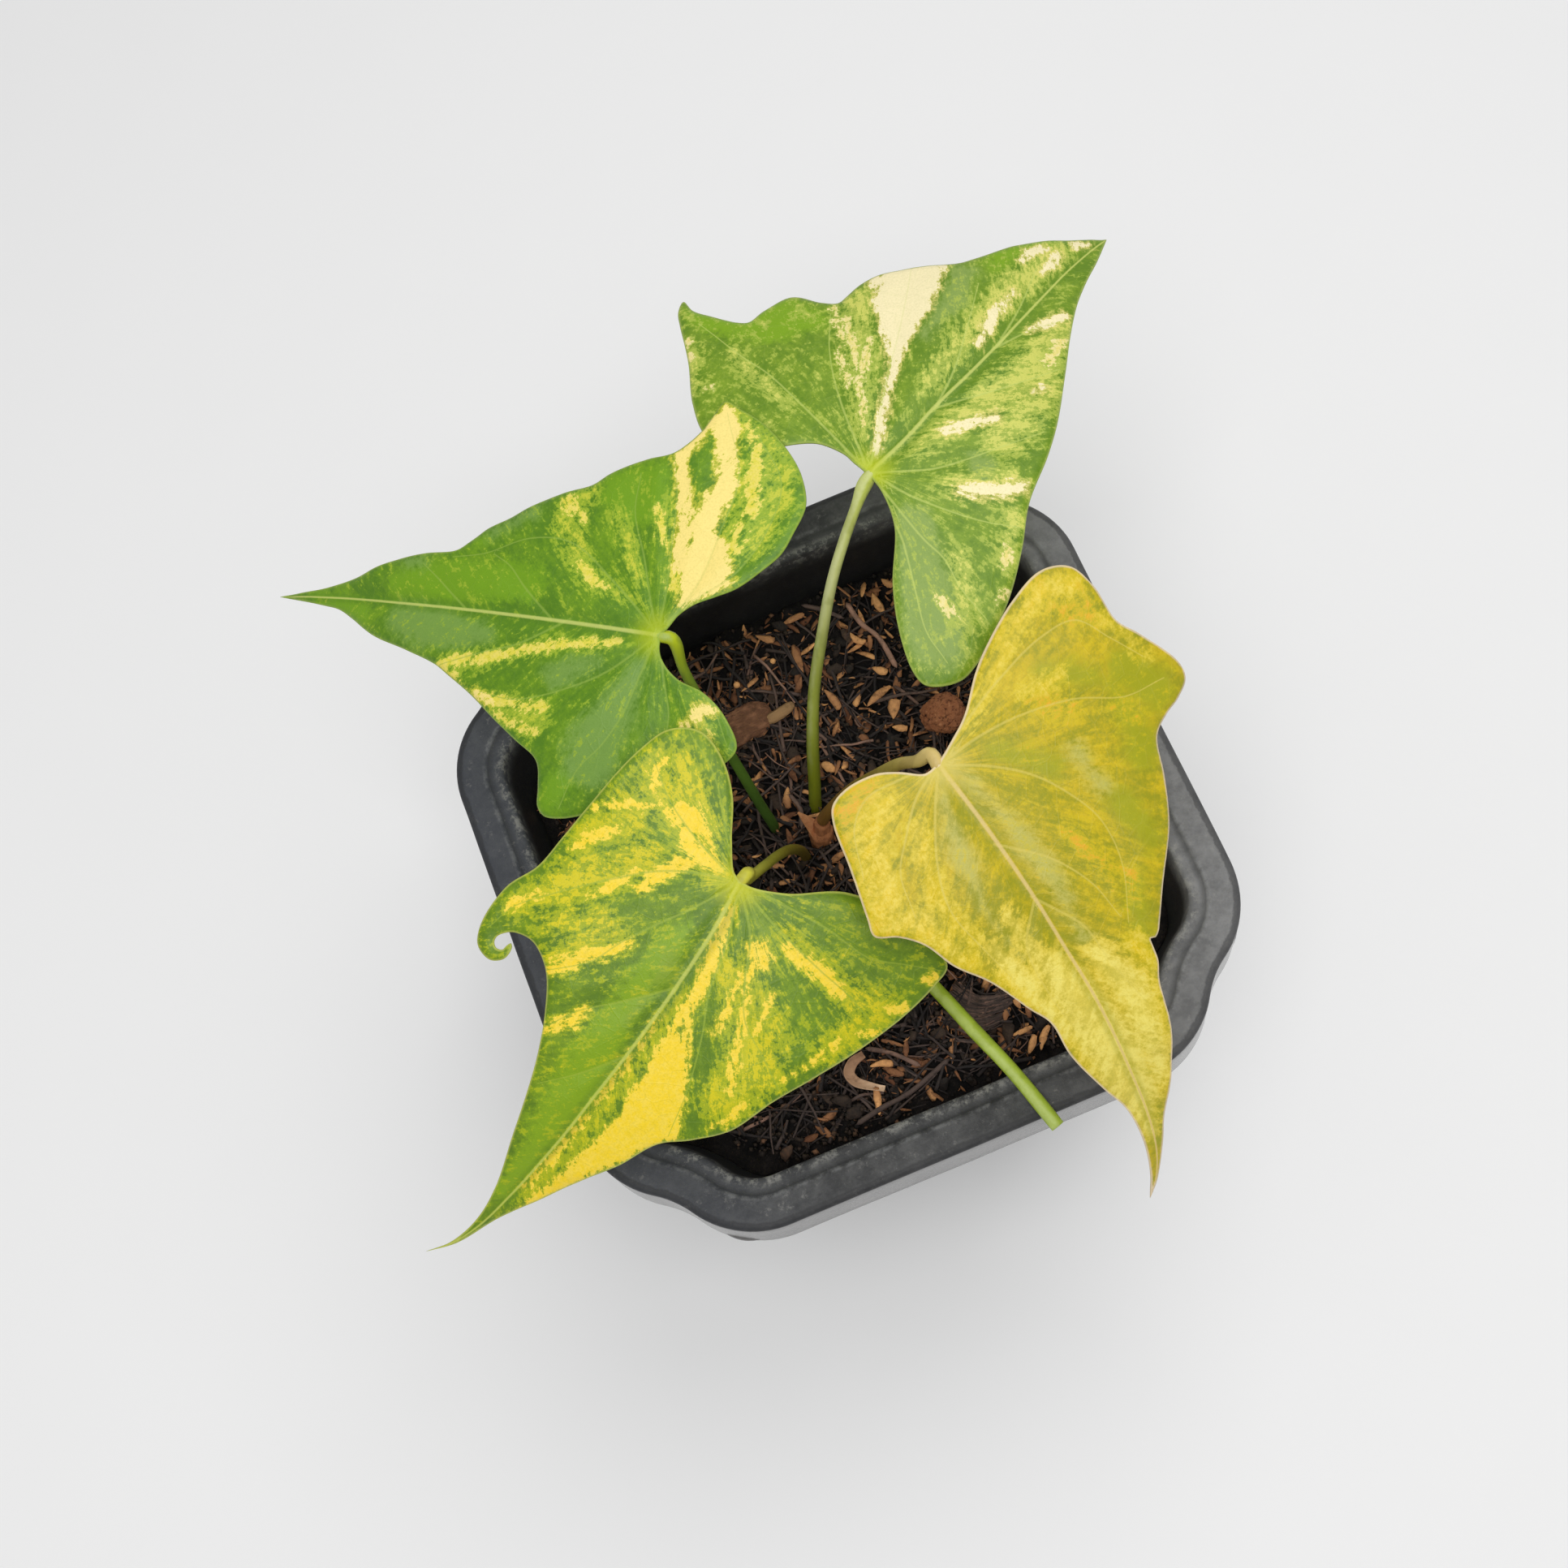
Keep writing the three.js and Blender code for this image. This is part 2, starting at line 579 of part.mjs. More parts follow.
// The blade as a thin sheet, over points along its outline and on a grid of triangles within it.
function bladeSheet(blade) {
  const outline = [...alongMargin(blade.right), ...alongMargin(blade.left)];
  const points = [...outline];
  const half = Math.ceil(blade.length / BLADE_GRID);
  for (let row = -half; row <= half; row++) {
    for (let column = -half; column <= 2 * half; column++) {
      const x = BLADE_GRID * (column + Math.abs(row % 2) / 2);
      const y = BLADE_GRID * row * Math.sqrt(0.75);
      const point = new THREE.Vector3(x, y, 0);
      const isClear = outline.every((other) => other.distanceTo(point) > MARGIN_CLEAR);
      if (isClear && isInside(outline, x, y)) points.push(point);
    }
  }
  const triangles = joined(points).filter((corners) => {
    const middle = new THREE.Vector3();
    for (const k of corners) middle.addScaledVector(points[k], 1 / 3);
    return isInside(outline, middle.x, middle.y);
  });
  const vertices = points.map(({ x, y }) => new THREE.Vector3(x, y, bladeHeight(blade, x, y)));
  return { vertices, triangles };
}

// Gives a sheet its thickness: the same triangles above and below, and walls along its edge.
function thickened({ vertices, triangles }, thickness) {
  const shifted = (amount) => vertices.map((v) => new THREE.Vector3(v.x, v.y, v.z + amount));
  const count = vertices.length;
  const under = triangles.map(([a, b, c]) => [a + count, c + count, b + count]);
  const walls = openEdges(triangles).flatMap(([from, to]) => [
    [from, from + count, to + count],
    [from, to + count, to],
  ]);
  const all = [...triangles, ...under, ...walls];
  return geometryOf([...shifted(thickness / 2), ...shifted(-thickness / 2)], all);
}

function bladeMesh(name) {
  const blade = BLADES[name];
  const mesh = meshOf(name, thickened(bladeSheet(blade), BLADE_THICKNESS), blade.colour);
  const [heading, pitch, roll] = [blade.heading, blade.pitch, blade.roll].map((degrees) =>
    THREE.MathUtils.degToRad(degrees),
  );
  mesh.position.set(...blade.at);
  mesh.rotation.set(roll, -pitch, heading, "ZYX");
  mesh.updateMatrixWorld();
  return mesh;
}

// A stalk ends just under its blade, bent to run along the midrib from the notch.
function stalkMesh(name, blades) {
  const stalk = STALKS[name];
  const points = footPoints(stalk);
  if (stalk.blade) {
    const under = stalk.radii[1] + BLADE_THICKNESS / 2 + SEAT_GAP;
    for (const place of [[-STALK_REACH, 0, -under - STALK_REACH], [STALK_REACH, 0, -under]]) {
      const point = new THREE.Vector3(...place).applyMatrix4(blades[stalk.blade].matrixWorld);
      points.push(point.toArray());
    }
  }
  return meshOf(name, stalkGeometry(points, stalk.radii), stalk.colour);
}

function crownMesh() {
  const parts = Object.values(CROWN).map((p) => solidOf(stalkGeometry(p.points, p.radii)));
  return meshOf("crown", geometryOfSolid(wasm.Manifold.union(parts)), "crown");
}

const plant = new THREE.Group();
const blades = Object.fromEntries(Object.keys(BLADES).map((name) => [name, bladeMesh(name)]));
plant.add(...Object.values(blades));
plant.add(...Object.keys(STALKS).map((name) => stalkMesh(name, blades)));
plant.add(crownMesh());

const potted = new THREE.Group();
potted.add(meshOf("pot", geometryOfSolid(potSolid()), "pot"));
potted.add(meshOf("potting_mix", geometryOfSolid(mixSolid()), "mix"));
for (const [name, scrap] of Object.entries(SCRAPS)) {
  potted.add(meshOf(name, scrapGeometry(scrap, 0), scrap.colour));
}
potted.add(plant);

export default potted;
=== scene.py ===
import math

import bpy
import numpy as np
from mathutils import Euler, Matrix, Vector, geometry, kdtree


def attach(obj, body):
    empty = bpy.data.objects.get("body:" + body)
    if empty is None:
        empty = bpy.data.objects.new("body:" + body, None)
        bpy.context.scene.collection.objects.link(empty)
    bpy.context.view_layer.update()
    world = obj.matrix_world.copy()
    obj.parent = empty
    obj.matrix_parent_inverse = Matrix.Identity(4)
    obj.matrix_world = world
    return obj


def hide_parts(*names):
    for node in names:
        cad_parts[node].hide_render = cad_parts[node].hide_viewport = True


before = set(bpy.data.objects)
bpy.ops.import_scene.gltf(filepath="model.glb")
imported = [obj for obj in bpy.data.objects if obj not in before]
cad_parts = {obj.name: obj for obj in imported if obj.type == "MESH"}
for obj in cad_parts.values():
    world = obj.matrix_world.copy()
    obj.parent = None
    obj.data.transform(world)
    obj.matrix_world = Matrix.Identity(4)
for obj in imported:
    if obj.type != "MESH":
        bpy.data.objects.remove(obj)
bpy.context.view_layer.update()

# Lengths below are in millimetres. Meshes are scaled to metres when a piece is made.
MM = 0.001

# Pot
RIM_SIDE = 150
POT_HEIGHT = 125
BASE_SHARE = 0.7  # of the rim's side, at the base
POT_WALL = 1.6
RIM_WIDTH = 11
RIM_BAND = 7
RIM_STEP = 0.6
RIM_SKIRT = 16
CORNER_RADIUS = 22
CORNER_TURN = math.radians(57)  # of a corner's first bend
BEND_STEPS = 14
SIDE_STEP = 4
WALL_STEPS = (20, 45, 70, 95, 108, 118)  # heights of the wall's rings
ROUND_TURNS = [math.radians(a) for a in (0, 22, 45, 68, 90)]
SKIRT_FLARE = 0.5
EDGE_ROUND = 1.2
FLOOR_ROUND = 1.4
DRAIN_RADIUS = 4.5
LUG_RADIUS = 1.2
LUG_REACH = 4.4
LUG_BACK = 8  # outline points from a corner's end back to its lug
POT_ZONES = ("skirt", "shoulder", "step", "gutter", "lip", "inside")
DRAINS = [(36, 0), (47.5, 45)]  # distance from the middle and angle, repeated on each side

# Potting mix
MIX_TOP = POT_HEIGHT - 18
MIX_LUMPS = 1.3
MIX_GRID = 1.15  # spacing of the points on the bed
BED_INSIDE = 1.9  # from the wall's outer face to the mix
BED_DROP = 2.9  # from the top of the mix to the crumbs under its scraps
HUSK_COUNT = 720
SLIVER_COUNT = 1500
FIBRE_COUNT = 1500
BARK_BIT_COUNT = 560
CRUMB_COUNT = 4200
GRAIN_TINT = 1.5  # past the palest husk

# Surroundings, in metres and degrees. A softbox has its place, size and power.
CAMERA_AT = (-0.014062, -0.125372, 0.533074)
CAMERA_TURN = (17.882, 6.229, -21.72)
CAMERA_LENS = 44.72
FLOOR_REACH = 3
SKY_STRENGTH = 0.42
SOFTBOXES = {"key": ((0.45, 0.4, 1.25), 0.9, 4.2), "front_fill": ((-0.08, -0.3, 1.2), 0.7, 6)}
LIT_POINT = (0, 0, 0.1)

# Blades
LEAF_GRID = 0.6
LEAF_THICKNESS = 0.5
WAVE_REACH = 60  # distance from the notch at which a wave has its full height
VEIN_ANGLE = math.radians(46)  # at which side veins leave the midrib
FAN_WIDTH = 25  # distance from the notch at which fanned streaks are as wide as the others
LEAF_GLOSS = 0.03  # what a leaf's gloss adds to its colour
PAINTS = ("cream", "yellow", "fleck", "vivid", "grey")
UNPAINTED = -20  # the depth in a stroke, far outside all strokes
# Relief on a blade: height and half width.
PILLOW, GROOVE, TROUGH, RIDGE = (0.42, 3.2), (0.16, 0.45), (0.5, 2.4), (0.42, 0.5)
KEEL, CORD, ROLL = (1.0, 0.85), (0.42, 0.5), (0.35, 0.7)

# Each blade's frame has its origin at the notch, x along the midrib to the tip, y to the left and z out
# of the upper face. The outline is its right side to the tip and its left side back. Strokes of paint are
# points x, y and half width: cream wedges, yellow strokes, green islands in both, and fleck, vivid and
# grey for where the flecks gather, the green turns vivid, and a painted sheen turns it greyish. The grey
# colour is that painted sheen. Colours are as the eye sees them, 0 to 255. speckle is the level above
# which noise makes a fleck, soft and blur how softly paint and flecks end, and patchy how much green shows
# through the paint.
BLADES = {
    "blade_back": {
        "slot": "green_blade",
        "at": (32.3, 48.2, 182.5),
        "heading": 30,
        "pitch": -15,
        "roll": -3,
        "length": 84,
        "arch": 5,
        "droop": (0.0022, 0.004),
        "wave": (1.6, 5, 0.4),
        "right": [
            (0, 0), (-2.1, -5.1), (-6.3, -11.2), (-15.6, -18), (-22, -24.6), (-26, -31), (-26.6, -34.4),
            (-25, -37), (-21.2, -39.6), (-17, -40), (-12.7, -39.5), (-3.1, -37.3), (5.8, -33.6),
            (14.2, -29.1), (24.8, -25.9), (33, -22.6), (45.2, -16.2), (54, -11.4), (63.8, -6.9),
            (76.4, -3.2), (84.3, -0.6),
        ],
        "left": [
            (84.3, -0.6), (78, 4), (69.3, 10), (57.3, 15.8), (54, 18), (50, 23.2), (46.6, 27), (42.8, 30.5),
            (38.8, 31.9), (34.4, 32.3), (32, 32.7), (30.3, 36), (28.4, 42.3), (22, 44.7), (17.6, 45.3),
            (16.3, 47.5), (15.2, 54), (15, 58.6), (16.2, 62.2), (13, 61), (10.4, 58.4), (2.8, 49.6),
            (-4.8, 42.1), (-9.5, 34.8), (-9.5, 27), (-5.9, 20.8), (-0.5, 13.4), (0.8, 7.2), (0.2, 3.6),
            (0, 0),
        ],
        "midrib": [
            (0, 0), (10, -1.3), (20, -1.5), (30, -2.1), (40, -2.2), (50, -1.9), (60, -1.3), (70, -0.8),
            (84.3, -0.6),
        ],
        "veins": [
            [(0, 0), (1.7, 7.2), (3.6, 14.8), (5.9, 23.7), (8, 32.4), (9, 40.4), (11.7, 53.4)],
            [(0, 0), (4.8, 7.5), (9.3, 14), (14.5, 20.3), (20.5, 26.1), (27.6, 31.3)],
            [(0, 0), (8, 4.2), (15.1, 8.2), (21.6, 11.6), (28.8, 15), (38.6, 20.1), (47.6, 25.2)],
            [(0, 0), (4.2, -5.9), (8.2, -10.3), (13.4, -13.8), (19.2, -17), (28.1, -21.8)],
            [(0, 0), (0.4, -8.8), (1.8, -15.1), (3.7, -21.1), (5.7, -25.6), (8.5, -30.2)],
            [(0, 0), (-3.5, -11.1), (-5, -17.4), (-5.7, -23.2), (-8, -28.7), (-9.3, -35.7)],
            [(0, 0), (-4.5, -8.5), (-7.9, -14.5), (-13.7, -21.9), (-19, -29), (-20.7, -34.8)],
            [(19.6, -1.7), (29, 0.7), (38.7, 4.7), (50.5, 10.2)],
            [(19.6, -1.7), (27.7, -7.1), (35.5, -11.3), (43.5, -14.8)],
            [(39.6, -2.3), (51.6, 0.2), (62.6, 3.8)],
            [(39.6, -2.3), (49.2, -5.4), (56.7, -8.8)],
        ],
        "cream": [
            [(46.5, 23.5, 6.2), (38.5, 20.5, 6.3), (32, 17, 3.9), (28, 14.6, 2), (24, 12, 1), (15, 7.6, 0.7),
             (4, 1.8, 0.5)],
            [(41.5, 28.6, 2), (48.5, 21.5, 2.8)],
            [(38, 0.8, 0.5), (43, 2.2, 0.9), (48, 3.1, 0.8), (54, 3.4, 0.4)],
            [(64, 2.4, 0.6), (67, 2.9, 0.9), (70, 3, 0.6)],
            [(63, 7.8, 0.8), (66, 7.8, 1.2), (69.4, 6.4, 0.7)],
            [(76.6, 2.3, 0.9), (79.4, 0.8, 0.6)],
            [(16, -6.8, 0.7), (20, -9.2, 0.9), (25, -12.5, 1)],
            [(48.5, -5.3, 0.7), (52, -6.4, 0.9), (57, -7.8, 0.7)],
            [(35.4, -15, 0.5), (37.6, -15.6, 0.6)],
            [(7, -17, 0.7), (10, -21, 1.3), (13, -24.5, 1.5), (15.5, -26.5, 0.9)],
        ],
        "yellow": [
            [(14, 16, 0.3), (20, 22.4, 0.7), (25, 27.4, 0.8), (30, 32, 0.4)],
            [(15, 14, 0.3), (22, 21, 0.8), (29, 27.5, 0.7)],
            [(8, 7.6, 0.3), (14, 12.5, 0.6), (20, 17.2, 0.6), (26, 20, 0.5)],
            [(-1, 41, 0.5), (-3, 43, 0.4)],
            [(3, 50, 0.4), (7, 53, 0.6)],
            [(1, -33, 0.8), (4, -31.4, 0.6)],
            [(-4.6, -36, 0.7), (-3, -37, 0.6)],
            [(-12, -26, 0.4), (-13, -31, 0.7)],
            [(44, -12.6, 0.7), (50, -11.6, 0.9)],
        ],
        "fleck": [
            [(6, 6, 1), (20, 18, 2.6), (34, 29, 3.2)],
            [(8, -4, 1.4), (20, -8, 3), (40, -12, 5), (54, -9, 3)],
            [(22, -17, 4), (40, -17, 2.6)],
            [(6, -14, 1.4), (14, -23, 3)],
            [(-4, -26, 2), (-14, -34, 1.6)],
            [(2, -33, 2.4), (10, -28, 1.8)],
            [(4, 25, 0.8), (5.5, 33, 1.4), (8, 42, 1.2)],
            [(24, 3, 1.4), (46, 4.5, 3), (60, 4, 3.6), (72, 4, 2.6)],
            [(-2, 44, 1.8), (5, 51, 1.6)],
        ],
        "vivid": [[(14, 57, 3), (14, 48, 4), (20, 40, 6), (25, 34, 4)], [(60, 11, 3), (72, 7, 2)]],
        "grey": [
            [(-5, -14, 4), (-18, -31, 6)], [(33, 11, 2), (44, 12, 3), (52, 15, 2)],
            [(14, -17, 2), (11, -20, 2)],
        ],
        "palette": {
            "dark": (106, 140, 36),
            "green": (140, 168, 60),
            "vivid": (134, 172, 30),
            "grey": (148, 172, 94),
            "pale": (180, 196, 88),
            "fleck": (220, 220, 112),
            "cream": (255, 242, 194),
            "warm": (240, 224, 130),
            "vein": (196, 210, 112),
            "rib": (204, 212, 116),
            "notch": (196, 208, 48),
            "edge": (172, 190, 100),
            "under": (150, 172, 96),
        },
        "speckle": 0.592,
        "soft": 0.2,
        "blur": 0.03,
        "patchy": 0,
    },
    "blade_left": {
        "slot": "green_blade",
        "at": (-19, 34.9, 178.5),
        "heading": 141,
        "pitch": -20.5,
        "roll": -13,
        "length": 100,
        "arch": 6,
        "droop": (0.003, 0.003),
        "wave": (1.6, 5, 2),
        "right": [
            (0, 0), (-1.7, -1.9), (-3.1, -4.4), (-5.6, -6.9), (-9.4, -9.2), (-13.4, -11.8), (-17.6, -16.2),
            (-20.2, -20), (-21.4, -24.4), (-22, -30.7), (-19.2, -36.8), (-14.2, -42.6), (-8.3, -47.1),
            (-3.6, -49.2), (0, -50.5), (1.3, -47.3), (2.8, -42.8), (6.2, -38), (11.4, -36), (15.6, -34.2),
            (19.5, -32), (22.6, -29.4), (29, -27), (35.4, -23.6), (40, -20.4), (44, -17.8), (47.6, -14.4),
            (50.2, -12.2), (58.6, -10.9), (67.8, -8.2), (76, -4.2), (85.8, -1.3), (100.4, 1.3),
        ],
        "left": [
            (100.4, 1.3), (85, 2.4), (80, 3), (75.5, 4.7), (68.4, 7.8), (58.5, 10), (50.4, 12.2),
            (46.4, 14.1), (41, 17.1), (35.1, 21), (28.6, 24.8), (23, 27.9), (21.7, 29.8), (21.1, 34),
            (21, 37.6), (19.4, 39.3), (15.6, 39.2), (10.3, 37.6), (3.5, 35.2), (-2.9, 32.2), (-9.1, 28.8),
            (-14.7, 25), (-19, 19.8), (-16.3, 14.5), (-11.1, 10), (-5.4, 8), (-1.4, 4.5), (0, 0),
        ],
        "midrib": [(0, 0), (20, 0), (39.6, 0.1), (60, 0.3), (79.3, 0.5), (100.4, 1.3)],
        "veins": [
            [(0, 0), (6.3, -5.5), (12.1, -9.8), (20.9, -15.6), (26.2, -17), (33.6, -16.2), (42.6, -12.2),
             (49.4, -10.8)],
            [(0, 0), (2.9, -6.7), (6.3, -15.1), (10.8, -24.2), (11.9, -31.8)],
            [(0, 0), (0, -7.1), (1.2, -18), (3, -29), (5.6, -36.4)],
            [(0, 0), (-5.7, -10.9), (-7.5, -23), (-7.8, -34.6), (-1.8, -47.1)],
            [(0, 0), (-5.1, -7.1), (-12.7, -14.8), (-16.4, -24.4), (-16.2, -34.4), (-9.2, -43.5)],
            [(0, 0), (6.4, 6.6), (10.6, 9.8), (16, 12.6), (22.9, 15.4), (30.3, 17.1), (37.5, 16.5)],
            [(0, 0), (2, 8.3), (4.3, 16.5), (7.9, 23.4), (12.5, 29), (15.5, 36.5)],
            [(0, 0), (-3.5, 10.3), (-5, 15.7), (-4.5, 23.4)],
            [(0, 0), (-8.2, 8.1), (-13.2, 12.3), (-16.9, 18.7)],
            [(24, -0.6), (31.1, -6.1), (35.8, -10.1), (40.9, -12.4)],
            [(44.5, -0.2), (52.4, -5.5), (57, -8.2)],
            [(19.9, -0.3), (29.5, 5.5), (39.3, 8.7), (48.1, 11.9)],
        ],
        "cream": [
            [(-3.4, -7, 0.6), (-5, -10, 2.4), (-7, -14, 4.6), (-6.4, -17.5, 4), (-4.5, -21, 2.4),
             (-4.5, -27, 2.6), (-6, -32, 1.8), (-4.5, -38, 1.4), (-3, -44, 2), (-0.8, -48.6, 1)],
            [(-2, -15, 2), (-0.6, -20, 1.6), (0, -26, 1.4), (2.6, -32, 1.2), (4.6, -37, 1.2),
             (2, -43, 1.3), (0.4, -47, 1)],
            [(-13, 13.4, 0.8), (-11, 13.8, 1.4), (-9.4, 16.6, 0.8)],
            [(39.6, 17, 0.7), (36, 18, 0.9)],
        ],
        "yellow": [
            [(-11, -19, 1), (-12, -28, 1.2), (-11, -35, 1.3), (-9, -41, 1.2), (-6, -46, 1)],
            [(-1.4, -10, 1.2), (-0.6, -14, 1)],
            [(2.6, -19, 0.4), (4.4, -22, 0.8), (6, -26, 0.6)],
            [(48, 11.2, 1), (40, 9.8, 0.8), (33, 8.3, 1), (28, 6.6, 0.9), (20, 4.9, 0.5), (8, 2.4, 0.4)],
            [(50, 12, 0.6), (39, 18, 0.8)],
            [(39, 17.2, 1.2), (34, 17.8, 0.9), (28, 18, 0.8), (22, 17.8, 0.5)],
            [(23, 23, 0.6), (28, 22.4, 0.7), (33, 20.4, 0.8)],
            [(-15, 21, 0.6), (-14, 18, 0.8)],
            [(27, -25.4, 1.2), (24.6, -23.6, 1.1), (21.5, -22, 0.6)],
            [(12.4, -8, 0.5), (16, -9.4, 0.9), (20, -12, 0.7)],
        ],
        "islands": [
            [(-1.8, -32.2, 1.1), (-1.4, -36.5, 1.5)],
            [(-8, -34.6, 1.2), (-7.6, -40, 1.4)],
            [(-12.6, -18.4, 1), (-12.4, -26, 1)],
            [(-0.4, -39, 1), (0.4, -43, 0.9)],
            [(-5.6, -44, 0.7), (-4.4, -47, 0.6)],
            [(-1.4, -23, 0.4), (-2.2, -30, 0.5)],
            [(-9, -28, 0.4), (-9.6, -33, 0.5)],
        ],
        "fleck": [
            [(5, -6, 1), (12, -8, 1.4), (20, -12, 2.4), (26, -22, 3.2), (23, -26, 3)],
            [(6, -10, 1.2), (14, -24, 2)],
            [(-15, -21, 3), (-17, -32, 3.4), (-12, -42, 3), (-4, -46, 3)],
            [(-10, -20, 2), (-10, -36, 3)],
            [(3, -20, 1.4), (5, -28, 1.2)],
            [(24, 21, 4), (32, 20, 3)],
            [(48, 12, 1.8), (34, 9, 1.4), (20, 5, 1.2)],
            [(-11, 16, 2.6), (-15, 23, 2)],
        ],
        "vivid": [
            [(30, -6, 5), (48, -6, 5), (62, -4, 3.5)], [(10, -28, 6), (17, -29, 4)],
            [(19, 36, 2.5), (15, 32, 3)], [(44, -15, 1.6), (50, -12.5, 1.4)], [(72, 3, 2), (88, 1, 1.5)],
        ],
        "grey": [
            [(3, 8, 2.5), (8, 20, 5), (10, 27, 6)], [(20, 11, 2.5), (12, 7, 2)], [(38, 5, 3), (60, 4, 4)],
            [(34, -22, 2), (42, -17, 2)], [(58, -9, 1.2), (62, -8.6, 1)],
        ],
        "palette": {
            "dark": (94, 134, 26),
            "green": (124, 162, 46),
            "vivid": (122, 164, 28),
            "grey": (130, 164, 84),
            "pale": (164, 188, 64),
            "fleck": (208, 210, 76),
            "cream": (255, 232, 140),
            "warm": (228, 218, 80),
            "vein": (152, 180, 82),
            "rib": (204, 212, 120),
            "notch": (184, 200, 40),
            "edge": (158, 184, 84),
            "under": (144, 168, 90),
        },
        "speckle": 0.61,
        "soft": 0.2,
        "blur": 0.03,
        "patchy": 0,
    },
    "blade_front": {
        "slot": "marbled_blade",
        "at": (-22.5, -18, 175.5),
        "heading": -158,
        "pitch": -23,
        "roll": -14,
        "length": 105,
        "arch": 7,
        "droop": (0.0045, 0.0022),
        "wave": (1.6, 5, 3.6),
        "right": [
            (0, 0), (-0.6, -2), (-4.8, -6.3), (-11, -11.9), (-15, -18.6), (-15.8, -25), (-12.3, -29.8),
            (-6, -31.5), (9, -32), (16.4, -32), (23.7, -32.1), (31, -34.3), (39.4, -33.5), (43, -31.2),
            (43.4, -27.5), (41.1, -25.3), (38.5, -25.6), (38.1, -26.3), (38.8, -26.6), (40.2, -26.8),
            (40.8, -28), (40.3, -29), (39.2, -29.3), (37.6, -28.6), (36, -27), (34.8, -23),
            (36.9, -17.9), (43.2, -12.7), (52.2, -7.9), (68, -2.2), (80.4, 1.7), (90, 2.9), (99, 1.7),
            (104.7, -0.9),
        ],
        "left": [
            (104.7, -0.9), (98, 2.8), (86.3, 6.2), (76.6, 10.1), (66.1, 14.4), (59, 17.7), (50.2, 20.7),
            (45, 25.2), (38.6, 29.7), (28.7, 32.4), (20, 35.6), (12, 38.4), (2, 40.8), (-6.9, 41.6),
            (-11.2, 41), (-13.7, 34), (-13.5, 26), (-10.7, 16.5), (-4.1, 8.5), (-0.7, 2.6), (0, 0),
        ],
        "midrib": [
            (0, 0), (10, 2.2), (20, 3.5), (30, 4.4), (40, 5), (50, 5.3), (60, 5.6), (70, 5.5), (80, 5.1),
            (90, 4.2), (99, 2), (104.7, -0.9),
        ],
        "veins": [
            [(0, 0), (3.7, -7.1), (8.8, -13.6), (16.5, -19.9), (24.9, -25.9), (32.7, -30.6), (38.2, -31.6)],
            [(0, 0), (9.6, -3.7), (16.3, -6.9), (23.4, -9.9), (29.6, -11.9), (36.6, -17.2)],
            [(23.4, 3.6), (31.8, -2.4), (39, -7.8), (44.9, -10.3)],
            [(40.2, 4.8), (48.6, 0.2), (55.1, -4.3)],
            [(0, 0), (-0.3, -7), (-1.1, -13.3), (-2.9, -20.5), (-6.1, -27.2)],
            [(0, 0), (-3.2, -5.6), (-7.5, -10.8), (-12, -17.9), (-14.3, -25.6)],
            [(0, 0), (-1.9, 8.6), (-3.6, 18.5), (-4, 28.2), (-7, 34.5), (-9.7, 40)],
            [(0, 0), (1.6, 8), (2.6, 16), (3.4, 23.2), (4, 30), (6, 37.8)],
            [(0, 0), (6.3, 8.2), (13.7, 13.2), (19.5, 18.1), (22.8, 25.1), (25.7, 30.8)],
            [(0, 0), (10.1, 5.7), (19.6, 9.3), (26.9, 13.6), (37.1, 18.2), (46.4, 21)],
        ],
        "yellow": [
            [(22, 7, 0.6), (27, 9, 1.6), (33, 11.5, 3), (42, 15, 5), (49, 16.2, 5), (55, 14.8, 3.7),
             (62, 13.2, 2.6), (72, 11, 1.2), (83, 7.6, 0.4)],
            [(40, 18.5, 1.4), (47, 21.6, 1.6)],
            [(30, 5.2, 0.3), (38, 6.1, 0.4), (55, 6.7, 0.5), (65, 6.9, 0.6), (76, 6.2, 0.4)],
            [(4, 1.6, 0.5), (9, 3.4, 1), (15, 5.6, 1), (22, 8, 0.8)],
            [(7.6, 9, 0.4), (10, 12, 0.8), (17, 16, 0.6), (24, 19.6, 0.7), (28, 22.4, 1), (32, 24.8, 0.8)],
            [(3, 15, 0.8), (3.6, 20, 1.4), (3.6, 25, 1.2), (4.6, 29, 0.6)],
            [(6, 11, 0.7), (8.5, 14, 0.8)],
            [(12, 19, 0.4), (19, 21, 0.6)],
            [(13, 12, 0.5), (20, 14, 0.9), (25, 14.6, 0.5)],
            [(0, 39.6, 0.8), (1.6, 38, 0.7)],
            [(6.6, 38.8, 0.7), (8.6, 36.8, 0.6)],
            [(-8.4, 40.6, 0.6), (-7, 39.4, 0.5)],
            [(30, 29, 0.5), (36, 28, 0.6), (40, 26.4, 0.4)],
            [(12, 34, 0.4), (18, 33, 0.6), (24, 31, 0.5)],
            [(0.4, -2.4, 0.5), (0.8, -7, 1.6), (-1, -12, 3), (-3.2, -15, 2.4), (-2, -18.6, 1.4)],
            [(1, -8.4, 0.9), (6, -12, 1.4), (13.5, -13.8, 0.8)],
            [(22, -8.5, 0.7), (28, -12, 1.4), (33, -15.4, 1.3), (36.6, -17, 0.8)],
            [(37, -6.8, 0.5), (41, -7.6, 0.9), (46, -10.2, 0.7)],
            [(11, -16, 0.5), (16, -18, 0.7), (21, -20.4, 0.4)],
            [(-8, -26, 0.8), (-6, -26.6, 1.2), (-3, -24.5, 0.7)],
            [(7, -24.4, 0.5), (11, -26.6, 0.8), (16, -29, 0.6)],
            [(27, -28.4, 0.4), (33, -31.5, 0.6)],
            [(0, -22, 0.5), (2.6, -26, 0.6), (8, -31, 0.6)],
        ],
        "islands": [
            [(16, 14.6, 0.5), (22, 16, 0.8), (28, 17.4, 0.9), (32, 16.8, 0.5)],
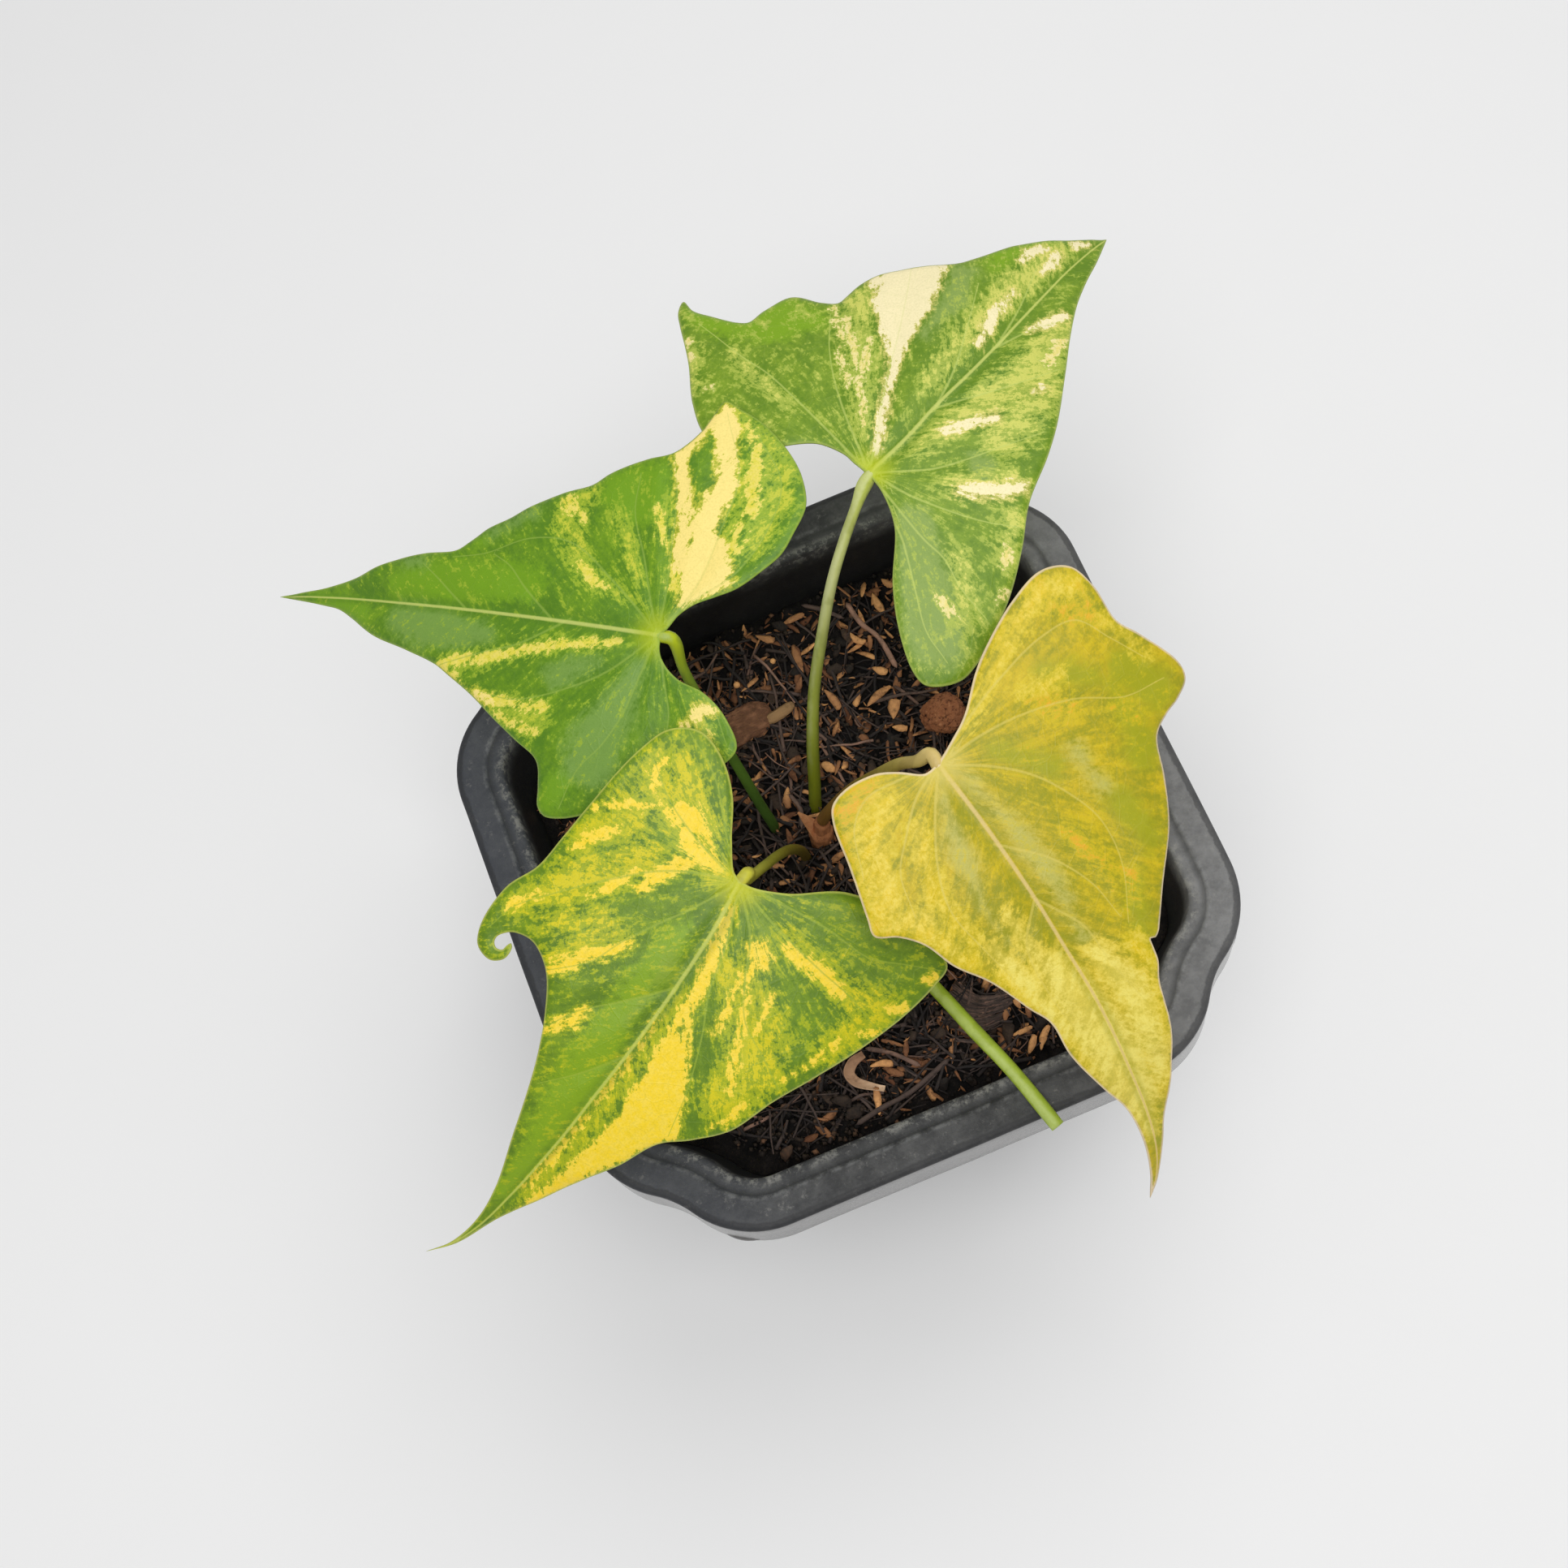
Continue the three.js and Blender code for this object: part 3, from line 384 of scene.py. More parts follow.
            [(-1, -9, 0.4), (-1.4, -12, 0.5)],
            [(27, 9.4, 0.2), (29.4, 10.8, 0.4)],
        ],
        "fleck": [
            [(-6, -24, 6), (-3, -15, 5), (2.7, -5.3, 2)],
            [(32, -30, 2), (20, -24, 4.5), (8, -16, 4)],
            [(4, -25, 5), (14, -28, 3)],
            [(14, 9, 3), (16, 14, 4), (18, 20, 5), (26, 26, 6), (34, 25, 5)],
            [(2, 14, 2), (4, 30, 3), (2, 37, 3), (14, 34, 3)],
            [(34, -18, 3), (24, -12, 3)],
            [(30, -24, 2), (22, -16, 2)],
            [(24, 6, 1.4), (40, 8, 1.4), (60, 8.6, 1.4), (80, 7.4, 1)],
        ],
        "vivid": [[(12, -2, 2), (26, -2, 5), (44, 0, 5), (60, 2, 4), (80, 4, 1.6)]],
        "grey": [[(3, 7, 1.2), (4, 12, 2)], [(22, -18, 2), (29, -17, 1.6)], [(34, 1, 2), (20, 0, 2)]],
        "palette": {
            "dark": (100, 130, 14),
            "green": (132, 160, 26),
            "vivid": (138, 170, 20),
            "grey": (140, 164, 62),
            "pale": (178, 188, 34),
            "fleck": (226, 210, 48),
            "cream": (255, 228, 104),
            "warm": (252, 218, 60),
            "vein": (160, 180, 66),
            "rib": (196, 204, 100),
            "notch": (206, 206, 52),
            "edge": (200, 206, 104),
            "under": (168, 178, 84),
        },
        "speckle": 0.594,
        "soft": 0.25,
        "blur": 0.03,
        "patchy": 0,
    },
    "blade_right": {
        "slot": "golden_blade",
        "at": (20, -16.5, 191),
        "heading": -84,
        "pitch": -35,
        "roll": 0,
        "length": 104,
        "arch": 10,
        "droop": (0.0035, 0.0035),
        "wave": (1.6, 5, 5.2),
        "right": [
            (0, 0), (0.3, -3), (-2, -7), (-3.6, -11), (-3.6, -17), (-2, -20.8), (1, -22.3), (9, -23.4),
            (18.5, -25), (22, -25.4), (24, -21.5), (27.3, -18), (33.3, -15), (39.7, -10.2), (48, -6),
            (52.5, -3.6), (61, -2.8), (71, 0.2), (78, 2.7), (86.5, 3.4), (97, 2.2), (103.2, 0.5),
        ],
        "left": [
            (103.2, 0.5), (100, 2.6), (95, 4.8), (89.5, 7), (84, 8.9), (78.3, 11.6), (73.8, 13.8),
            (65.3, 16.8), (55.2, 18.4), (51.5, 19.8), (48.4, 20.1), (46.9, 20.3), (47.2, 21.2),
            (46.4, 22.3), (44.7, 23.4), (37.4, 28.4), (30.2, 33.9), (22.3, 37.6), (16, 40), (13.6, 43.6),
            (12.3, 47.4), (10.2, 50.6), (7, 50.9), (-1.5, 46.4), (-6, 43.5), (-13, 43), (-18, 41),
            (-20, 36), (-18, 27.5), (-13.3, 18.6), (-10.5, 14.5), (-5, 8.3), (-2, 3.4), (0, 0),
        ],
        "midrib": [
            (0, 0), (10, 1.7), (20, 3.1), (30, 4.2), (40, 5), (50, 5.9), (60, 6.3), (70, 6.3), (80, 6.2),
            (90, 5.2), (98, 3), (103.2, 0.5),
        ],
        "veins": [
            [(0, 0), (-1, 9.7), (-0.5, 18.7), (1.9, 28.7), (6.5, 37.9), (7.5, 45.6)],
            [(0, 0), (-4.6, 9.2), (-8.1, 18.8), (-10.4, 28.8), (-9.8, 36.3), (-4.1, 40.5), (1.4, 44.2)],
            [(0, 0), (4.5, 8.3), (9.5, 14.5), (15.2, 18.7), (22.6, 22), (31.3, 21.8), (40.9, 18.1)],
            [(0, 0), (2.8, -6), (9, -12.1), (14, -15.8), (21.1, -17)],
            [(0, 0), (7.4, -5.1), (17, -9.6), (24.3, -10.8), (32.5, -8.8), (41.5, -6)],
            [(0, 0), (-0.9, -8.3), (-0.6, -14.6), (3.1, -19.2), (11.1, -21.9)],
            [(17.4, 2.7), (23.8, 10), (31.8, 14.9), (39.1, 16.7)],
            [(29.2, 4.1), (38.1, 9.9), (46.4, 11.4), (56.7, 14.1)],
            [(29.2, 4.1), (36.3, -1.2), (47.7, -1.4), (56.5, 0.4)],
        ],
        "cream": [
            [(42, 1, 3), (52, 3, 5.5), (64, 5, 6), (76, 5.4, 4.4), (86, 5, 1.6)],
            [(44, 10, 2.4), (54, 13, 4), (64, 12.6, 3.4), (74, 11, 1.8)],
            [(34, -7, 1.4), (44, -4, 2.2), (56, -1.4, 2)],
            [(30, -2, 1), (42, 0, 1.6)],
        ],
        "yellow": [
            [(2, -12, 2), (6, -18, 3), (14, -20, 3.4), (20, -22, 3), (24, -17, 2.6), (34, -12, 1.6)],
            [(8, -9, 1.4), (20, -12, 2), (30, -10, 1.6)],
            [(-15, 40, 1.6), (-17, 32, 1.4), (-11, 20, 0.9), (-4, 8, 0.6)],
            [(-8, 42, 1), (2, 45, 1)],
            [(-4, 20, 0.5), (-3, 28, 0.7)],
            [(46, 17, 2), (56, 16.6, 1.8), (66, 15, 1.4)],
            [(40, -8, 2), (52, -3.6, 1.6), (66, -1, 1.2)],
        ],
        "fleck": [
            [(-1, -14, 3), (0, -20, 3), (6, -22, 2)],
            [(12, -22, 2), (22, -24, 3), (24, -19, 2)],
            [(-16, 40, 2), (-8, 41, 2), (-15, 33, 2)],
            [(-2, 21, 2), (2, 27, 2)],
            [(22, 16, 2), (32, 18, 2)],
            [(6, 35, 1.4), (10, 38, 1.2)],
            [(34, 22, 1.6), (38, 21, 1.4)],
            [(6, -22, 1.4), (20, -24, 1.4), (26, -16, 1.4)],
            [(-18, 34, 1.6), (-12, 20, 1.2)],
        ],
        "vivid": [
            [(2, 40, 3), (9, 44, 4)], [(4, 36, 2), (16, 36, 4)], [(2, 10, 1.6), (10, 18, 2.4)],
            [(36, 22, 2.6), (45, 19, 2.6)], [(66, 9, 1.4), (88, 6, 1.4)], [(-4, 26, 2), (0, 34, 2)],
            [(22, 27, 3), (30, 29, 3)],
        ],
        "grey": [
            [(5, 3.4, 1), (16, 7, 1.8), (28, 9, 1.6), (40, 9, 1.4)],
            [(6, -2.4, 0.8), (16, -4, 1.6), (26, -5, 1.2), (38, -3, 1)],
            [(10, 24, 1), (18, 26, 1)],
        ],
        "palette": {
            "dark": (158, 156, 16),
            "green": (216, 188, 12),
            "vivid": (168, 168, 24),
            "grey": (194, 190, 104),
            "pale": (210, 192, 34),
            "fleck": (236, 176, 58),
            "cream": (244, 228, 118),
            "warm": (232, 200, 16),
            "vein": (216, 200, 98),
            "rib": (226, 200, 132),
            "notch": (222, 204, 104),
            "edge": (246, 224, 196),
            "under": (214, 196, 96),
        },
        "speckle": 0.57,
        "soft": 3,
        "blur": 0.12,
        "patchy": 0.55,
    },
}

# Stalks: the points that they pass through, their radii at the foot and at the top, and how many times
# as thick they are just below the blade.
STALKS = {
    "stalk_back": {
        "points": [(-1.5, 12, 107), (0, 14, 117), (3, 19, 131), (7, 25, 143), (12, 30, 156),
                   (18, 36, 168), (23.2, 40.8, 174), (27.8, 44.6, 178.6)],
        "radii": (1.5, 1.05),
        "swell": 1.45,
        "blade": "blade_back",
        "colours": [(116, 122, 36), (136, 146, 48), (164, 174, 78), (196, 200, 128), (188, 200, 84)],
        "stripe": (214, 216, 170),
        "slot": "green_stalk",
    },
    "stalk_left": {
        "points": [(-12, 12, 107), (-13, 14.5, 117), (-14, 17.5, 129), (-15, 21, 140),
                   (-16, 25.5, 153), (-17, 30.4, 168.5)],
        "radii": (1.25, 1.0),
        "swell": 1.35,
        "blade": "blade_left",
        "colours": [(72, 92, 50), (84, 116, 54), (104, 140, 58), (136, 166, 58), (184, 196, 36)],
        "stripe": (146, 172, 116),
        "slot": "green_stalk",
    },
    "stalk_front": {
        "points": [(-8, 2, 107), (-8.6, 0.5, 118), (-10.6, -2.6, 132), (-13.5, -7, 146),
                   (-17.2, -12.3, 160), (-20.8, -16, 169)],
        "radii": (1.2, 1.0),
        "swell": 1.3,
        "blade": "blade_front",
        "colours": [(104, 90, 44), (122, 106, 46), (140, 132, 48), (160, 160, 56), (208, 204, 70)],
        "stripe": (146, 146, 74),
        "slot": "dark_stalk",
    },
    "stalk_right": {
        "points": [(-1.35, 6, 115.45), (-0.4, 5.6, 119), (2.7, 3.8, 130), (6.2, 0.5, 145),
                   (10.8, -4.6, 163), (14.7, -9.2, 178), (17.5, -12.5, 185.5)],
        "radii": (1.4, 1.15),
        "swell": 1.2,
        "blade": "blade_right",
        "colours": [(140, 104, 58), (150, 116, 58), (150, 130, 54), (176, 158, 76), (224, 198, 124)],
        "stripe": (186, 162, 104),
        "slot": "dark_stalk",
    },
    "stalk_trimmed": {
        "points": [(0.5, -19, 107), (1.8, -25.5, 114), (4, -33.5, 120.5), (7.5, -45, 126),
                   (10, -53, 128), (14, -64, 127.6), (18, -78, 127.2)],
        "radii": (1.6, 1.5),
        "swell": 1,
        "blade": None,
        "colours": [(140, 160, 50), (164, 190, 56), (178, 204, 62), (184, 208, 72), (166, 188, 62)],
        "stripe": (206, 220, 146),
        "slot": "green_stalk",
    },
}
STALK_DEPTH = 14
STALK_SIDES = 22
STALK_JOIN = [(-1.6, 0, -2.6), (0.6, 0, -1.25), (3, 0, -0.85)]  # a stalk's end, in its blade's frame
STALK_GLOSS = 0.015  # what a stalk's gloss adds to its colour
# The side of a stalk that faces the light, where its pale stripe is painted as a highlight.
LIT_SIDE = np.array([-0.37, -0.1, 0.92])  # the side of a stalk that its pale stripe is on

# The short stem that shows at the mix, with the dry leaf sheath beside the right blade's stalk.
CROWN_STEM = [(-3, 5, 93), (-3, 5, 103), (-2.8, 5, 109), (-2.4, 5.2, 112)]
CROWN_SOCKET = [(-2.4, 5.2, 110), (-1.8, 5.8, 113.2), (-1.45, 6, 114.9)]
SHEATH_THICKNESS = 0.44
SHEATH = [(-2.8, 4.6, 107), (-3.8, 6, 111), (-4.8, 7.8, 114), (-5.8, 9.4, 116.6)]

# Loose pieces on the mix: centre, half sizes and heading.
CLAY_PELLET = {"at": (34, 20.5), "half": (5, 4.6, 4), "turn": 20, "sink": 0.35}
BARK_CHIP = {"at": (-9.5, 37.5), "half": (7.5, 4.2, 1.8), "turn": 12, "sink": 0.5}
WOOD_CURL = [(-13.1, -45.3), (-16, -46), (-17.6, -47.8), (-17, -50), (-14.7, -52), (-11.7, -54)]
WOOD_CURL_WIDTH = 2.8
PALE_FLAKE = {"at": (-1.1, 36.4), "length": 9.4, "width": 3.2, "turn": 8}

# Husks that lie clear of the others: centre, length, width, heading and tint.
CLEAR_HUSKS = [
    ((8.2, 47.3), 8.4, 2.2, 86, 0.62), ((30.9, 53), 6.4, 2, -84, 0.98), ((22.7, 46.1), 4.6, 1.9, -58, 0.92),
    ((12.2, 34.9), 6.4, 2.1, -76, 0.72), ((22.1, 31.5), 7.6, 2, 19, 0.8), ((24.7, 36.5), 4, 2.1, -43, 1),
    ((11.1, 57), 5.8, 1.9, 4, 0.7), ((35, 57), 3.6, 2, -58, 0.85), ((23.6, 21.9), 3.8, 1.8, -31, 0.95),
    ((24, 26.3), 5, 2.8, 62, 0.85), ((4.9, 20), 4, 2.6, -54, 1), ((21.6, -57.6), 4.6, 1.7, 49, 0.9),
    ((24.5, -57), 6, 1.8, 49, 1), ((-10.3, -48.5), 5.4, 1.8, -15, 0.95), ((3, 54.5), 5, 2, -40, 0.75),
]
# Twigs that lie over the mix: their points, radius and tint.
TWIGS = [
    ([(24.1, 55.8), (25.3, 49.6), (27.6, 44.1), (28.6, 35.4)], 0.62, 0.95),
    ([(3.8, -53.7), (-7.1, -56.8), (-14.1, -57.6), (-20.4, -58.8)], 0.6, 0.5),
    ([(-12.2, -44), (-7.1, -47.7), (-2.6, -52.5)], 0.55, 0.75),
    ([(14.1, 59), (18.1, 56.3), (22, 52)], 0.5, 0.6),
    ([(-6, 17), (-4.9, 12.4), (-6.4, 8)], 0.5, 0.7),
]
# A mat of thin curved fibres
MAT = {"at": (13, -47), "turn": -24, "length": 15, "width": 7, "bow": 2.6, "strands": 110}
# Pale grains among the mix: centre and size.
PALE_GRAINS = [((-7.3, 47), 0.8), ((2.7, 49), 0.7), ((-14, -12), 0.7), ((12, -52), 0.5)]


# Shader expressions

class Wire:
    """A node's output. Arithmetic on it adds Math nodes."""

    def __init__(self, finish, socket):
        self.finish = finish
        self.socket = socket

    def math(self, operation, *operands):
        return self.finish.node("ShaderNodeMath", {"operation": operation}, dict(enumerate(operands)))

    def __add__(self, other):
        return self.math("ADD", self, other)

    def __sub__(self, other):
        return self.math("SUBTRACT", self, other)

    def __mul__(self, other):
        return self.math("MULTIPLY", self, other)

    def __rsub__(self, other):
        return self.math("SUBTRACT", other, self)

    __radd__ = __add__
    __rmul__ = __mul__

    def __abs__(self):
        return self.math("ABSOLUTE", self)

    def rises(self, low, high):
        """From 0 at low to 1 at high, with soft ends."""
        sockets = {"Value": self, "From Min": low, "From Max": high}
        return self.finish.node("ShaderNodeMapRange", {"interpolation_type": "SMOOTHSTEP"}, sockets)

    def falls(self, low, high):
        """From 1 at low to 0 at high, with soft ends."""
        return 1 - self.rises(low, high)


class Finish:
    """A material made of nodes."""

    def __init__(self, name):
        self.material = bpy.data.materials.new(name)
        self.material.use_nodes = True
        self.tree = self.material.node_tree
        self.tree.nodes.clear()

    def node(self, kind, settings=None, sockets=None, output=0):
        """A new node with its settings, then its socket values or links. The result is one of its outputs."""
        node = self.tree.nodes.new(kind)
        for key, value in (settings or {}).items():
            setattr(node, key, value)
        for key, value in (sockets or {}).items():
            socket = node.inputs[key]
            if isinstance(value, Wire):
                self.tree.links.new(value.socket, socket)
            else:
                socket.default_value = value
        if output is not None:
            return Wire(self, node.outputs[output])

    def attribute(self, name, output="Fac"):
        """A value that the mesh holds at each point."""
        return self.node("ShaderNodeAttribute", {"attribute_name": name}, output=output)

    def place(self):
        """Position on the object, in metres."""
        return self.node("ShaderNodeTexCoord", output="Object")

    def scaled(self, vector, sizes):
        """A vector measured in the given sizes: one for all the axes, or one for each."""
        sizes = sizes if isinstance(sizes, tuple) else (sizes, sizes, sizes)
        factors = tuple(1 / size for size in sizes)
        return self.node("ShaderNodeVectorMath", {"operation": "MULTIPLY"}, {0: vector, 1: factors})

    def noise(self, vector, sizes, detail, roughness, shift=0):
        """Cloudy values from 0 to 1, in patches of the given sizes."""
        vectors = {0: self.scaled(vector, sizes), 1: (shift, 0.7 * shift, 0.3 * shift)}
        moved = self.node("ShaderNodeVectorMath", {"operation": "ADD"}, vectors)
        sockets = {"Vector": moved, "Scale": 1, "Detail": detail, "Roughness": roughness}
        return self.node("ShaderNodeTexNoise", None, sockets)

    def cells(self, vector, sizes):
        """Distance to the edges of random cells of the given sizes."""
        sockets = {"Vector": self.scaled(vector, sizes), "Scale": 1}
        return self.node("ShaderNodeTexVoronoi", {"feature": "DISTANCE_TO_EDGE"}, sockets)

    def mix(self, share, under, over):
        """The colour under, covered by the colour over by share."""
        return self.node("ShaderNodeMix", {"data_type": "RGBA"}, {0: share, 6: under, 7: over}, output=2)

    def covered(self, colour, layers):
        """A colour under layers of others, each given as its share and its colour."""
        for share, over in layers:
            colour = self.mix(share, colour, over)
        return colour

    def ramp(self, share, colours, gloss=0.0):
        """A colour that passes through the given ones, evenly spaced."""
        wire = paint(colours[0], gloss)
        last = len(colours) - 1
        for k, colour in enumerate(colours[1:]):
            wire = self.mix(share.rises(k / last, (k + 1) / last), wire, paint(colour, gloss))
        return wire

    def surface(self, colour, roughness, height=None, depth=0.1, constants=None):
        """The finished surface. height is from 0 to 1, and depth its height in millimetres."""
        sockets = {"Base Color": colour, "Roughness": roughness, **(constants or {})}
        if height is not None:
            bump = {"Height": height, "Strength": 1.0, "Distance": depth * MM}
            sockets["Normal"] = self.node("ShaderNodeBump", None, bump)
        shader = self.node("ShaderNodeBsdfPrincipled", None, sockets)
        self.node("ShaderNodeOutputMaterial", None, {"Surface": shader}, output=None)
        return self.material


def paint(rgb, gloss=0.0):
    """A shader colour from the red, green and blue that the eye sees, 0 to 255, less what gloss adds."""
    linear = [((v / 255 + 0.055) / 1.055) ** 2.4 if v > 10 else v / 255 / 12.92 for v in rgb]
    return (*[max(v - gloss, 0.002) for v in linear], 1.0)


# Meshes

def placed(name, data):
    """A new object in the scene that shows a mesh, a light or a camera."""
    thing = bpy.data.objects.new(name, data)
    bpy.context.scene.collection.objects.link(thing)
    return thing


def make_piece(name, points, faces, material, slot, nodes=(), fields=None):
    """An object from points in millimetres and faces, which rides on the pot."""
    mesh = bpy.data.meshes.new(name)
    mesh.from_pydata((np.asarray(points) * MM).tolist(), [], [list(map(int, f)) for f in faces])
    mesh.polygons.foreach_set("use_smooth", [True] * len(mesh.polygons))
    for field, values in (fields or {}).items():
        values = np.asarray(values, np.float32)
        kind, key = ("FLOAT", "value") if values.ndim == 1 else ("FLOAT_VECTOR", "vector")
        mesh.attributes.new(field, kind, "POINT").data.foreach_set(key, values.ravel())
    mesh.materials.append(material)
    mesh.validate()
    piece = placed(name, mesh)
    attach(piece, "root")
    if nodes:
        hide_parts(*nodes)
    return piece


def curve_through(points, step):
    """Places along a smooth curve through the points, no further apart than step in each span."""
    points = np.asarray(points, float)
    first = 2 * points[0] - points[1]
    last = 2 * points[-1] - points[-2]
    knots = np.vstack([first, points, last])
    places = []
    for before, start, end, after in zip(knots, knots[1:], knots[2:], knots[3:]):
        spans = (start - before, end - start, after - end)
        lead, width, trail = [np.linalg.norm(span) ** 0.5 for span in spans]
        leave = (start - before) / lead - (end - before) / (lead + width) + (end - start) / width
        arrive = (end - start) / width - (after - start) / (width + trail) + (after - end) / trail
        leave, arrive = leave * width, arrive * width
        count = math.ceil(np.linalg.norm(end - start) / step)
        t = np.arange(count)[:, None] / count
        bend = -3 * start + 3 * end - 2 * leave - arrive
        twist = 2 * start - 2 * end + leave + arrive
        places.append(start + leave * t + bend * t * t + twist * t**3)
    return np.vstack([*places, points[-1:]])


def run_along(path):
    """The distance along a path, at each of its points."""
    return np.concatenate([[0], np.cumsum(np.linalg.norm(np.diff(path, axis=0), axis=1))])


def hills(points, size, seed):
    """Smooth random heights from -1 to 1, with hills of about the given size."""
    count = 32  # after which the hills repeat
    table = np.random.default_rng(seed).uniform(-1, 1, (count, count, count))
    cell = np.asarray(points, float) / size
    if cell.shape[1] == 2:
        cell = np.column_stack([cell, np.full(len(cell), 0.5)])
    corner = np.floor(cell).astype(int)
    share = cell - corner
    share = share * share * (3 - 2 * share)
    total = np.zeros(len(cell))
    for dx in (0, 1):
        for dy in (0, 1):
            for dz in (0, 1):
                weight = np.abs(1 - dx - share[:, 0]) * np.abs(1 - dy - share[:, 1])
                weight = weight * np.abs(1 - dz - share[:, 2])
                x, y, z = ((corner + (dx, dy, dz)) % count).T
                total += weight * table[x, y, z]
    return total


def search_tree(flat):
    """A tree that finds the nearest of many places in a plane."""
    tree = kdtree.KDTree(len(flat))
    for k, (x, y) in enumerate(flat):
        tree.insert((x, y, 0), k)
    tree.balance()
    return tree


def filled(outline, spacing, clear):
    """Points and triangles that fill an outline evenly. The outline's own points come first."""
    outline = np.asarray(outline)
    low, high = outline.min(0), outline.max(0)
    rows = np.arange(low[1], high[1], spacing * math.sqrt(0.75))
    columns = np.arange(low[0], high[0], spacing)
    grid = [(x + (k % 2) * spacing / 2, y) for k, y in enumerate(rows) for x in columns]
    tree = search_tree(outline)
    inner = [(x, y) for x, y in grid if tree.find((x, y, 0))[2] > clear]
    count = len(outline)
    edges = [(k, (k + 1) % count) for k in range(count)]
    places = [Vector(p) for p in [*outline, *inner]]
    result = geometry.delaunay_2d_cdt(places, edges, [], 1, 1e-7)
    points, triangles = np.array([tuple(v) for v in result[0]]), np.array(result[2])
    used = np.unique(triangles)
    number = np.zeros(len(points), int)
    number[used] = np.arange(len(used))
    return points[used], number[triangles]


def open_edges(triangles):
    """The directed edges that only one triangle has."""
    sides = np.vstack([triangles[:, [0, 1]], triangles[:, [1, 2]], triangles[:, [2, 0]]])
    known = {(int(a), int(b)) for a, b in sides}
    return [(a, b) for a, b in known if (b, a) not in known]


def thickened(upper, lower, triangles):
    """A closed sheet between two sets of points that share their triangles."""
    count = len(upper)
    walls = []
    for a, b in sorted(open_edges(triangles)):
        walls += [(a, a + count, b + count), (a, b + count, b)]
    under = triangles[:, [0, 2, 1]] + count
    return np.vstack([upper, lower]), np.vstack([triangles, under, np.array(walls)])


def sheet_triangles(rows, columns):
    """The triangles of a grid of points, row after row."""
    triangles = []
    for row in range(rows - 1):
        for column in range(columns - 1):
            a = row * columns + column
            triangles += [(a, a + 1, a + columns + 1), (a, a + columns + 1, a + columns)]
    return np.array(triangles)


def ring_faces(rings, sides):
    """The faces of a closed body whose points are a first tip, rings and a last tip."""
    faces = []
    last = 1 + (rings - 1) * sides
    for k in range(sides):
        after = (k + 1) % sides
        faces.append((0, 1 + after, 1 + k))
        faces.append((last + sides, last + k, last + after))
        for a in range(1, last, sides):
            faces.append((a + k, a + after, a + sides + after, a + sides + k))
    return faces


def turned_over(faces):
    return [(face[0], *face[:0:-1]) for face in faces]


def tube(path, radii, sides, ridges=0.0):
    """A closed round body along a path, with the share of its length at each point."""
    path = np.asarray(path, float)
    radii = np.broadcast_to(radii, len(path))
    tangents = np.gradient(path, axis=0)
    tangents /= np.linalg.norm(tangents, axis=1)[:, None]
    lead = np.array([1.0, 0, 0]) if abs(tangents[0][0]) < 0.8 else np.array([0, 1.0, 0])
    rings = []
    angles = np.arange(sides) * 2 * math.pi / sides
    for place, tangent, radius in zip(path, tangents, radii):
        lead = lead - tangent * (lead @ tangent)
        lead /= np.linalg.norm(lead)
        side = np.cross(tangent, lead)
        reach = radius * (1 + ridges * np.cos(3 * angles))
        rings.append(place + np.outer(reach * np.cos(angles), lead) + np.outer(reach * np.sin(angles), side))
    length = run_along(path)
    along = np.concatenate([[0], np.repeat(length / length[-1], sides), [1]])
    return np.vstack([path[:1], *rings, path[-1:]]), ring_faces(len(rings), sides), along


def rounded_ends(path, radius):
    """Radii along a path that give it round ends."""
    length = run_along(path)
    reach = np.minimum(length, length[-1] - length)
    inside = np.clip(reach / radius, 0, 1)
    return radius * np.sqrt(np.clip(1 - (1 - inside) ** 2, 0.02, 1))


class Heap:
    """Many small pieces gathered into one mesh, each with a tint of its own."""

    def __init__(self):
        self.points, self.faces, self.tints, self.count = [], [], [], 0

    def add(self, points, faces, tint):
        self.points.append(points)
        self.faces.extend([tuple(k + self.count for k in face) for face in faces])
        self.tints.append(np.zeros(len(points)) + tint)
        self.count += len(points)

    def piece(self, name, material, slot, nodes=()):
        fields = {"tint": np.concatenate(self.tints)}
        make_piece(name, np.vstack(self.points), self.faces, material, slot, nodes, fields)


# Pot

def rim_outline():
    """The rim's outline as points and outward normals. Each corner bends out, in and out again."""
    half = RIM_SIDE / 2
    quarter = math.pi / 4
    bends = [
        (CORNER_RADIUS, 0, CORNER_TURN),
        (-CORNER_RADIUS, CORNER_TURN, math.pi / 2 - CORNER_TURN),
        (CORNER_RADIUS, math.pi / 2 - CORNER_TURN, math.pi / 2),
    ]
    cosine, sine = math.cos(CORNER_TURN), math.sin(CORNER_TURN)
    straight = half - CORNER_RADIUS * (1 - cosine + sine)
    straight -= CORNER_RADIUS * (math.cos(quarter) - cosine + sine - math.sin(quarter))
    points, normals = [], []
    for side in range(4):
        turn = side * math.pi / 2
        rotation = np.array([[math.cos(turn), -math.sin(turn)], [math.sin(turn), math.cos(turn)]])
        place = np.array([half, -straight])
        stretch = int(2 * straight / SIDE_STEP)
        for k in range(stretch):
            points.append(rotation @ (place + (0, 2 * straight * k / stretch)))
            normals.append(rotation @ (1, 0))
        place = np.array([half, straight])
        points.append(rotation @ place)
        normals.append(rotation @ (1, 0))
        for radius, start, end in bends:
            for k in range(BEND_STEPS):
                before = start + (end - start) * k / BEND_STEPS
                after = start + (end - start) * (k + 1) / BEND_STEPS
                turned = (math.cos(after) - math.cos(before), math.sin(after) - math.sin(before))
                place = place + radius * np.array(turned)
                points.append(rotation @ place)
                normals.append(rotation @ (math.cos(after), math.sin(after)))
        points.pop()
        normals.pop()
    return np.array(points), np.array(normals)


RIM_POINTS, RIM_NORMALS = rim_outline()


